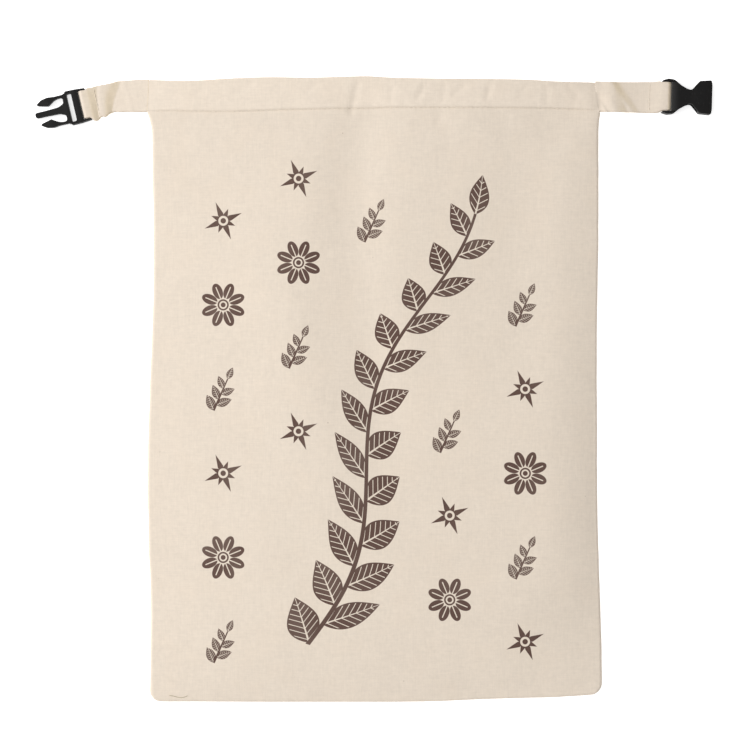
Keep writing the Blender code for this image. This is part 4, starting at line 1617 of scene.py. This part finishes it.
def leafy_stem_group():
    """A stem with leaves at both sides in turn and one at its end."""
    tree, given, result = new_group(
        "leafy_stem",
        (
            ("Along", 0.0), ("Across", 0.0), ("Length", 0.3), ("Spacing", 0.024), ("Leaf length", 0.03),
            ("Leaf half width", 0.007), ("Stem", 0.0009), ("Vein", 0.0004),
        ),
        (("Ink", float),),
    )
    names = ("Along", "Across", "Length", "Spacing", "Leaf length", "Leaf half width", "Stem", "Vein")
    run, across, length, spacing, leaf, half_width, stem, vein = (Term(tree, given[label]) for label in names)

    def leaf_ink(forward, sideways, size):
        """One leaf from its base, with its midrib and side veins left bare."""
        share = (forward / (leaf * size)).clamped()
        reach = ((share**LEAF_SHAPE) * math.pi).sine() * half_width * size
        inside = reach - abs(sideways)
        rib = (abs(sideways) - vein * (MIDRIB - share)).ramp(*BARE_EDGE)
        stripe = ((forward - abs(sideways) * SIDE_VEIN_SLANT) / (leaf * SIDE_VEINS_APART)).modulo(1.0)
        between = (abs(stripe - 0.5) * leaf * SIDE_VEINS_APART - vein * SIDE_VEIN).ramp(*BARE_EDGE)
        rim = (inside - vein * LEAF_RIM).ramp(*RIM_EDGE)
        return edge_of(inside) * rib * choose(rim, 1.0, between)

    side = across.over(0.0)
    phase = run / spacing + side * 0.5
    base = (phase.floor() - side * 0.5) * spacing
    forward_step = run - base - spacing * LEAF_START
    out = abs(across)
    size = 1.0 - (base / length) * SMALLEST_LEAF
    forward = forward_step * math.cos(LEAF_LEAN) + out * math.sin(LEAF_LEAN)
    sideways = out * math.cos(LEAF_LEAN) - forward_step * math.sin(LEAF_LEAN)
    on_stem = base.over(-0.0001) * (length - spacing * LAST_LEAF - base).over(0.0)
    leaves = leaf_ink(forward, sideways, size) * on_stem * out.over(STEM_EDGE)
    end_leaf = leaf_ink(run - length, across, END_LEAF) * (run - length).over(0.0)
    foot, thinner = STEM_TAPER
    thick = stem * (foot - run / length * thinner)
    stalk = edge_of(thick - out) * run.ramp(0.0, STEM_EDGE) * (1.0 - (run - length).ramp(0.0, STEM_EDGE))
    give(tree, result, "Ink", leaves.most(end_leaf).most(stalk))
    lay_out(tree)
    return tree


def beside_branch(x, y):
    """Distance along the branch and across it."""
    (foot_x, foot_y), (wave_height, wave_length) = BRANCH_FOOT, BRANCH_WAVE
    run = (x - foot_x) * math.sin(BRANCH_LEAN) + (y - foot_y) * math.cos(BRANCH_LEAN)
    straight = (x - foot_x) * math.cos(BRANCH_LEAN) - (y - foot_y) * math.sin(BRANCH_LEAN)
    return run, straight - (run * (2 * math.pi / wave_length)).sine() * wave_height


def flower_ink(radius, forward, sideways):
    """Eight round petals about a ring, each with a bare line along it."""
    middle, half_length, half_width = PETAL
    line, line_end, soft = PETAL_LINE
    beyond = forward - middle
    petal = 1.0 - ((beyond / half_length) ** 2.0 + (sideways / half_width) ** 2.0).apply("SQRT")
    bare = (abs(sideways) - line).ramp(*BARE_EDGE).most((beyond - line_end).ramp(0.0, soft))
    ring = edge_of(PRINT_LINE - abs(radius - FLOWER_RING))
    return (edge_of(petal * half_width) * bare).most(ring).most(edge_of(FLOWER_EYE - radius))


def star_ink(radius, ray, sideways):
    """Eight rays, long and short in turn, about an eye."""
    reach, shorter, half_width = STAR_RAY
    ray_reach = reach - ray.floor().modulo(2.0) * shorter
    ray_half = (1.0 - radius / ray_reach) * half_width
    return edge_of((ray_half - abs(sideways)).least(radius - STAR_RING)).most(edge_of(STAR_EYE - radius))


def sprig_ink(tree, leafy_stem, x, y):
    """The branch made small."""
    run = x * math.sin(SPRIG_LEAN) + y * math.cos(SPRIG_LEAN) + SPRIG_FOOT
    across = x * math.cos(SPRIG_LEAN) - y * math.sin(SPRIG_LEAN)
    return Term(tree, use_group(tree, leafy_stem, Along=run, Across=across, **SPRIG)["Ink"])


def print_group(settings, leafy_stem):
    """A leafy branch that waves up the front, with small flowers, stars and sprigs scattered beside it."""
    tree, given, result = new_group("block_print", (("Place", None),), (("Ink", float),))
    x, y, _ = place_of(tree, given["Place"])
    run, across = beside_branch(x, y)
    branch = use_group(
        tree, leafy_stem, Along=run, Across=across, Length=BRANCH_LENGTH, Leaf_length=settings.leaf_length,
        Leaf_half_width=settings.leaf_half_width, **BRANCH_STEM,
    )

    # One motif in the middle of each cell. Every other column of cells is half a cell lower.
    cell_x, cell_y = settings.cell
    column = (x / cell_x + 0.5).floor()
    drop = column.modulo(2.0) * (cell_y / 2)
    row = ((y + drop) / cell_y + 0.5).floor()
    centre_x, centre_y = column * cell_x, row * cell_y - drop
    px, py = x - centre_x, y - centre_y
    kind = (column + row * 2.0).modulo(3.0)
    radius = (px * px + py * py).apply("SQRT")
    ray = py.apply("ARCTAN2", px) / (2 * math.pi) * MOTIF_RAYS
    turned = (ray.modulo(1.0) - 0.5) * (2 * math.pi / MOTIF_RAYS)
    forward, sideways = radius * turned.cosine(), radius * turned.sine()

    flowers, stars = 1.0 - kind.ramp(0.4, 0.6), kind.ramp(1.4, 1.6)
    sprigs = 1.0 - flowers - stars
    scattered = flower_ink(radius, forward, sideways) * flowers + sprig_ink(tree, leafy_stem, px, py) * sprigs
    scattered = scattered + star_ink(radius, ray, sideways) * stars
    _, centre_across = beside_branch(centre_x, centre_y)
    clear = (abs(centre_across) - BRANCH_ROOM).over(0.0)
    half_width, top, foot = SCATTERED
    inside = (half_width - abs(centre_x)).over(0.0) * (top - centre_y).over(0.0) * (centre_y - foot).over(0.0)
    give(tree, result, "Ink", Term(tree, branch["Ink"]).most(scattered * clear * inside))
    lay_out(tree)
    return tree


# Finishes of the cloth
DOUBLED_PALER = 0.026
# Painted shade in the hem's groove and where the right tab is sewn in, by this share.
CREASE_SHADE = 0.03
CLOTH_SLUB = 0.7
CLOTH_BUMP = (0.30, 0.32)  # depth against the thread pitch, strength
CLOTH_ROUGHNESS = (0.90, 0.06)  # mean, change from thread to thread
CLOTH_SHEEN, CLOTH_SHEEN_ROUGHNESS, CLOTH_SPECULAR = 0.10, 0.55, 0.25
WEAVE_TURN = 0.8  # a tab's weave turns by this share of its bend
INK_SPECKS = (0.0011, 0.16, 0.34, 0.07)  # size, from this value, to this value, share
INK_WEAR = (0.0300, 0.30, 0.60, 0.05)
INK_COVER = (-0.02, 0.24, 0.10)  # less ink by this share in the weave's pits, between these heights
INK_ROUGHNESS = (0.92, 0.14)  # without ink, and by how much ink lowers it
INK_FILLS = 0.25  # ink levels the weave by this share


def new_material(name):
    """An empty material, its tree, the inputs of its shader and the place on the object."""
    made = bpy.data.materials.new(name)
    made.use_nodes = True
    tree = made.node_tree
    coordinates = tree.nodes.new("ShaderNodeTexCoord")
    return made, tree, tree.nodes["Principled BSDF"].inputs, coordinates.outputs["Object"]


def link_bump(tree, shader, height, distance, strength):
    """Relief from a Term between 0 and 1, this deep."""
    node = tree.nodes.new("ShaderNodeBump")
    node.inputs["Distance"].default_value = distance
    node.inputs["Strength"].default_value = strength
    tree.links.new(height.socket, node.inputs["Height"])
    tree.links.new(node.outputs["Normal"], shader["Normal"])


def turned_place(tree, place, angle):
    """The same place in a frame turned about Z."""
    node = tree.nodes.new("ShaderNodeMapping")
    node.inputs["Rotation"].default_value = (0.0, 0.0, angle)
    tree.links.new(place, node.inputs["Vector"])
    return node.outputs["Vector"]


def named_value(tree, name):
    """A value that the mesh carries under this name."""
    node = tree.nodes.new("ShaderNodeAttribute")
    node.attribute_name = name
    return Term(tree, node.outputs["Fac"])


def patchy(tree, place, size, low, high, share):
    """1 in most places, and less by up to this share in clouds of this size."""
    return cloudy(tree, place, size).ramp(low, high) * share + (1.0 - share)


def cloth_material(name, settings, groups, printed=None, turn=0.0, tone=None):
    """The bag's cloth, with ink where it is printed. A tab's cloth is turned, darkened by its tone and tinted
    warm on its sides that face right: painted shade.
    """
    made, tree, shader, place = new_material(name)
    if turn:
        place = turned_place(tree, place, turn)
    weave = use_group(tree, groups["weave"], Place=place, Pitch=settings.cloth.pitch, Slub=CLOTH_SLUB)
    height = Term(tree, weave["Height"])
    # A tab's tone darkens the cloth's colour: painted shade.
    colour = use_group(
        tree, groups["tone"], Place=place, Height=weave["Height"], Shade=weave["Shade"],
        Colour=tuple(part * (tone or 1.0) for part in settings.cloth.colour),
        Fleck_colour=tuple(settings.cloth.fleck_colour), Contrast=1.0,
    )["Colour"]
    # The doubled hem lets less of the dark inside through, and stitched places gather shade.
    paler = named_value(tree, "doubled") * DOUBLED_PALER + 1.0
    colour = scaled(tree, colour, paler - named_value(tree, "crease") * CREASE_SHADE)
    if tone is not None:
        # Painted warm shade on a tab's sides that face away from the key light, standing in for light bounced
        # in its creases.
        colour = mixed(tree, named_value(tree, "turned_from_key"), colour, PAINTED_SHADE_TINT, "MULTIPLY")
    if printed:
        ink = Term(tree, use_group(tree, groups["print"], Place=place)["Ink"])
        low, high, share = INK_COVER
        cover = height.ramp(low, high) * share + (1.0 - share)
        inked = ink * patchy(tree, place, *INK_SPECKS) * cover * patchy(tree, place, *INK_WEAR)
        colour = mixed(tree, inked, colour, tuple(printed.ink))
        bare, lower = INK_ROUGHNESS
        rough = bare - inked * lower
        height = height * (1.0 - ink * INK_FILLS)
    else:
        mean, change = CLOTH_ROUGHNESS
        rough = mean + (Term(tree, weave["Shade"]) - 0.5) * change
    tree.links.new(rough.socket, shader["Roughness"])
    tree.links.new(colour, shader["Base Color"])
    shader["Sheen Weight"].default_value = CLOTH_SHEEN
    shader["Sheen Roughness"].default_value = CLOTH_SHEEN_ROUGHNESS
    shader["Specular IOR Level"].default_value = CLOTH_SPECULAR
    depth, strength = CLOTH_BUMP
    link_bump(tree, shader, height, settings.cloth.pitch * depth, strength)
    lay_out(tree)
    return made


TWIST_PITCH = 0.0009
TWIST_LEAN = (0.6, 1.4)  # how much faster or slower it turns along y and z than along x
TWIST_BUMP = (0.00008, 0.5)  # depth, strength
THREAD_FUZZ = 0.0006
# The twist's share is painted shade in the grooves between the plies.
THREAD_SHADE = (0.22, 0.20, 0.72)  # shares of the twist and of the fuzz, and the least shade
THREAD_ROUGHNESS = (0.2, 0.68)  # share of the fuzz, least
THREAD_SHEEN = 0.15


def thread_material(name, colour):
    """Spun thread: a two-ply twist along it, with painted shade in the grooves between the plies."""
    made, tree, shader, place = new_material(name)
    x, y, z = place_of(tree, place)
    lean_y, lean_z = TWIST_LEAN
    twist = (((x + y * lean_y + z * lean_z) * (2 * math.pi / TWIST_PITCH)).sine() * 0.5 + 0.5).clamped()
    fuzz = cloudy(tree, place, THREAD_FUZZ)
    twist_share, fuzz_share, least = THREAD_SHADE
    shade = twist * twist_share + fuzz * fuzz_share + least
    tree.links.new(scaled(tree, plain_colour(tree, colour), shade), shader["Base Color"])
    fuzz_share, least = THREAD_ROUGHNESS
    tree.links.new((fuzz * fuzz_share + least).socket, shader["Roughness"])
    shader["Sheen Weight"].default_value = THREAD_SHEEN
    link_bump(tree, shader, twist, *TWIST_BUMP)
    lay_out(tree)
    return made


PLASTIC_PATCHES = 0.0042
PLASTIC_RUBS = (0.0016, 0.63, 0.74, 0.16)  # size, from this value, to this value, strength
RUBBED_COLOUR = (0.11, 0.108, 0.105)
RUB_STREAKS = (3.0, 0.5)  # rubs are drawn out: how much finer their noise is along x and along y
PLASTIC_TONE = (0.5, 0.4)  # shares of the patches and of the grain
PLASTIC_ROUGHNESS = (0.14, 0.10, 0.12, 0.42)  # shares of the patches, the grain and the rubs, and the least
PLASTIC_RELIEF = (0.7, 0.3)  # shares of the grain and of the patches
PLASTIC_SPECULAR = 0.15
PLASTIC_GRAIN = 0.00016
PLASTIC_BUMP = (0.00004, 0.35)  # depth, strength


def moulded_group():
    """Moulded plastic: fine grain, uneven gloss and a few faint rubs."""
    tree, given, result = new_group(
        "moulded_plastic",
        (("Place", None), ("Colour", (0.02, 0.02, 0.02)), ("Grain", 0.0002), ("Rub", 1.0)),
        (("Colour", tuple), ("Roughness", float), ("Height", float)),
    )
    place = given["Place"]
    x, y, z = place_of(tree, place)
    grain_size = Term(tree, given["Grain"])
    fine = cloudy(tree, point(tree, x / grain_size, y / grain_size, z / grain_size), 1.0, 3.0)
    patches = cloudy(tree, place, PLASTIC_PATCHES)
    size, low, high, strength = PLASTIC_RUBS
    finer_x, finer_y = RUB_STREAKS
    streaks = cloudy(tree, point(tree, x * finer_x, y * finer_y, z), size, 3.0)
    rubs = streaks.ramp(low, high) * Term(tree, given["Rub"])
    of_patches, of_grain = PLASTIC_TONE
    tone = (patches - 0.5) * of_patches + (fine - 0.5) * of_grain + 1.0
    colour = mixed(tree, rubs * strength, scaled(tree, given["Colour"], tone), RUBBED_COLOUR)
    give(tree, result, "Colour", colour)
    of_patches, of_grain, of_rubs, least = PLASTIC_ROUGHNESS
    give(tree, result, "Roughness", patches * of_patches + fine * of_grain + rubs * of_rubs + least)
    of_grain, of_patches = PLASTIC_RELIEF
    give(tree, result, "Height", fine * of_grain + patches * of_patches)
    lay_out(tree)
    return tree


def plastic_material(name, buckle, group):
    """Black moulded plastic with little shine."""
    made, tree, shader, place = new_material(name)
    out = use_group(tree, group, Place=place, Colour=tuple(buckle.colour), Grain=PLASTIC_GRAIN, Rub=1.0)
    tree.links.new(out["Colour"], shader["Base Color"])
    tree.links.new(out["Roughness"], shader["Roughness"])
    shader["Specular IOR Level"].default_value = PLASTIC_SPECULAR
    link_bump(tree, shader, Term(tree, out["Height"]), *PLASTIC_BUMP)
    lay_out(tree)
    return made


def shared_groups(settings):
    """The node groups that the cloth's finishes share, made once."""
    made = bpy.data.node_groups
    if "plain_weave" not in made:
        weave_group()
        cloth_tone_group()
        print_group(settings.block_print, leafy_stem_group())
    return {"weave": made["plain_weave"], "tone": made["cloth_tone"], "print": made["block_print"]}


# Stage


FLOOR_REACH = 6.0
FLOOR_BELOW = 0.0004  # the floor lies this far under the bag
FLOOR_GLOW = 0.64  # it glows a little, as a lit white sweep does
FLOOR_TONE = (0.4, 0.01, 0.99)  # size of its clouds, their share, least tone
FLOOR_ROUGHNESS, FLOOR_SPECULAR = 0.95, 0.1
WORLD_COLOUR, WORLD_STRENGTH = (1.0, 0.995, 0.99, 1.0), 0.46
KEY_PLACE, KEY_SIZE, KEY_COLOUR = (-2.76, 0.48, 2.08), 1.0, (1.0, 0.99, 0.98)
FILL_PLACE, FILL_SIZE, FILL_COLOUR = (-1.00, 0.10, 2.4), 1.6, (1.0, 1.0, 1.0)
VIEW_HEIGHT = 0.004  # the picture's width is measured at this height


def aim(obj, target):
    """Turns a light so that it shines on a place."""
    obj.rotation_mode = "QUATERNION"
    obj.rotation_quaternion = (Vector(target) - obj.location).to_track_quat("-Z", "Y")


def add_area_light(name, location, size, power, colour):
    """A round soft light that shines on the middle of the bag."""
    data = bpy.data.lights.new(name, "AREA")
    data.shape = "DISK"
    data.size = size
    data.energy = power
    data.color = colour
    light = bpy.data.objects.new(name, data)
    bpy.context.scene.collection.objects.link(light)
    light.location = location
    aim(light, (*VIEW_CENTRE, 0.0))


def build_floor(stage):
    """A wide white floor."""
    bm = bmesh.new()
    bmesh.ops.create_grid(bm, x_segments=1, y_segments=1, size=FLOOR_REACH)
    bmesh.ops.translate(bm, verts=bm.verts[:], vec=(0.0, 0.0, -FLOOR_BELOW))
    mesh = finished_mesh("studio_floor", bm, SHARP_CLOTH)
    floor = bpy.data.objects.new("studio_floor", mesh)
    bpy.context.scene.collection.objects.link(floor)
    made, tree, shader, place = new_material("studio_floor")
    size, share, least = FLOOR_TONE
    tone = cloudy(tree, place, size) * share + least
    tree.links.new(scaled(tree, plain_colour(tree, stage.floor_colour), tone), shader["Base Color"])
    shader["Roughness"].default_value = FLOOR_ROUGHNESS
    shader["Specular IOR Level"].default_value = FLOOR_SPECULAR
    shader["Emission Color"].default_value = (1.0, 1.0, 1.0, 1.0)
    shader["Emission Strength"].default_value = FLOOR_GLOW
    mesh.materials.append(made)


def build_studio(stage):
    """White surroundings, a key light at the left and a wide fill overhead."""
    scene = bpy.context.scene
    world = bpy.data.worlds.new("studio_world")
    world.use_nodes = True
    background = world.node_tree.nodes["Background"]
    background.inputs["Color"].default_value = WORLD_COLOUR
    background.inputs["Strength"].default_value = WORLD_STRENGTH
    scene.world = world
    add_area_light("key_light", KEY_PLACE, KEY_SIZE, stage.key_power, KEY_COLOUR)
    add_area_light("fill_light", FILL_PLACE, FILL_SIZE, stage.fill_power, FILL_COLOUR)
    scene.view_settings.view_transform = "Standard"
    scene.view_settings.look = "None"


def build_camera(stage):
    """A camera that looks straight down on the middle of the view."""
    data = bpy.data.cameras.new("overhead_camera")
    data.lens = stage.lens
    data.sensor_width = SENSOR
    camera = bpy.data.objects.new("overhead_camera", data)
    bpy.context.scene.collection.objects.link(camera)
    camera.location = (*VIEW_CENTRE, VIEW_HEIGHT + VIEW_WIDTH * stage.lens / SENSOR)
    data.clip_end = 50.0
    bpy.context.scene.camera = camera


# Operators


class BREADBAG_OT_stage(bpy.types.Operator):
    """Makes the floor, the soft light and the overhead camera"""

    bl_idname = "bread_bag.stage"
    bl_label = "Stage"

    def execute(self, context):
        stage = context.scene.bread_bag.stage
        build_floor(stage)
        build_studio(stage)
        build_camera(stage)
        return {"FINISHED"}


class BREADBAG_OT_bag_cloth(bpy.types.Operator):
    """Makes the bag's cloth with its hem, seams, folds and block print"""

    bl_idname = "bread_bag.bag_cloth"
    bl_label = "Bag cloth"

    def execute(self, context):
        settings = context.scene.bread_bag
        groups = shared_groups(settings)
        front = cloth_material("printed_cloth", settings, groups, printed=settings.block_print)
        plain = cloth_material("plain_cloth", settings, groups)
        piece = add_piece("bag_cloth", build_bag(settings.cloth), (front, plain), ("bag_body",))
        return {"FINISHED"}


class BREADBAG_OT_tabs(bpy.types.Operator):
    """Makes the two cloth tabs that go round the buckle halves"""

    bl_idname = "bread_bag.tabs"
    bl_label = "Tabs"

    def execute(self, context):
        settings = context.scene.bread_bag
        groups = shared_groups(settings)
        for side, tab in TABS.items():
            name = f"tab_{side}"
            turn = tab["side"] * tab["bend"] * WEAVE_TURN
            cloth = cloth_material(f"{name}_cloth", settings, groups, turn=turn, tone=tab["tone"])
            piece = add_piece(name, build_tab(name, tab), (cloth,), (f"strap_{side}",))
        return {"FINISHED"}


class BREADBAG_OT_buckle(bpy.types.Operator):
    """Makes the moulded plug and socket"""

    bl_idname = "bread_bag.buckle"
    bl_label = "Buckle halves"

    def execute(self, context):
        buckle = context.scene.bread_bag.buckle
        plastic = plastic_material("moulded_plastic", buckle, moulded_group())
        add_piece("plug", build_plug(buckle), (plastic,), ("buckle_plug",))
        add_piece("socket", build_socket(buckle), (plastic,), ("buckle_socket",))
        return {"FINISHED"}


class BREADBAG_OT_stitching(bpy.types.Operator):
    """Sews the hem and the tabs, and lays the loose thread end"""

    bl_idname = "bread_bag.stitching"
    bl_label = "Stitching"

    def execute(self, context):
        settings = context.scene.bread_bag
        cloth, sewing = settings.cloth, settings.sewing
        thread = thread_material("sewing_thread", tuple(sewing.colour))
        end = thread_material("loose_thread", tuple(sewing.end_colour))
        add_piece("hem_stitches", build_hem_stitches(cloth, sewing), (thread,))
        add_piece("tab_stitches", build_tab_stitches(sewing), (thread,))
        add_piece("loose_thread_end", build_thread_end(cloth, sewing), (end,))
        return {"FINISHED"}


class BreadBagSettings(bpy.types.PropertyGroup):
    """All settings of the bread bag."""

    cloth: PointerProperty(type=ClothSettings, name="Cloth", description="Cloth of the bag and the tabs")
    block_print: PointerProperty(type=PrintSettings, name="Print", description="Block print on the front")
    sewing: PointerProperty(type=SewingSettings, name="Sewing", description="Thread of the hem and the tabs")
    buckle: PointerProperty(type=BuckleSettings, name="Buckle", description="Moulded buckle halves")
    stage: PointerProperty(type=StageSettings, name="Stage", description="Floor, light and camera")


OPERATORS = (
    BREADBAG_OT_stage,
    BREADBAG_OT_bag_cloth,
    BREADBAG_OT_tabs,
    BREADBAG_OT_buckle,
    BREADBAG_OT_stitching,
)
SETTINGS = (ClothSettings, PrintSettings, SewingSettings, BuckleSettings, StageSettings, BreadBagSettings)


class BREADBAG_PT_panel(bpy.types.Panel):
    """Lists the bread bag's operators and settings"""

    bl_idname = "BREADBAG_PT_panel"
    bl_label = "Bread Bag"
    bl_space_type = "VIEW_3D"
    bl_region_type = "UI"
    bl_category = "Bread Bag"

    def draw(self, context):
        settings = context.scene.bread_bag
        for operator in OPERATORS:
            self.layout.operator(operator.bl_idname)
        for part in (settings.cloth, settings.block_print, settings.sewing, settings.buckle, settings.stage):
            box = self.layout.box()
            for name in part.__annotations__:
                box.prop(part, name)


def register():
    """Makes the classes and the scene's settings known."""
    for cls in (*SETTINGS, *OPERATORS, BREADBAG_PT_panel):
        bpy.utils.register_class(cls)
    bpy.types.Scene.bread_bag = PointerProperty(type=BreadBagSettings)


def unregister():
    """Takes back what register did."""
    del bpy.types.Scene.bread_bag
    for cls in reversed((*SETTINGS, *OPERATORS, BREADBAG_PT_panel)):
        bpy.utils.unregister_class(cls)


def main():
    """Makes the stage and all pieces."""
    register()
    bpy.ops.bread_bag.stage()
    bpy.ops.bread_bag.bag_cloth()
    bpy.ops.bread_bag.tabs()
    bpy.ops.bread_bag.buckle()
    bpy.ops.bread_bag.stitching()


if __name__ == "__main__":
    main()
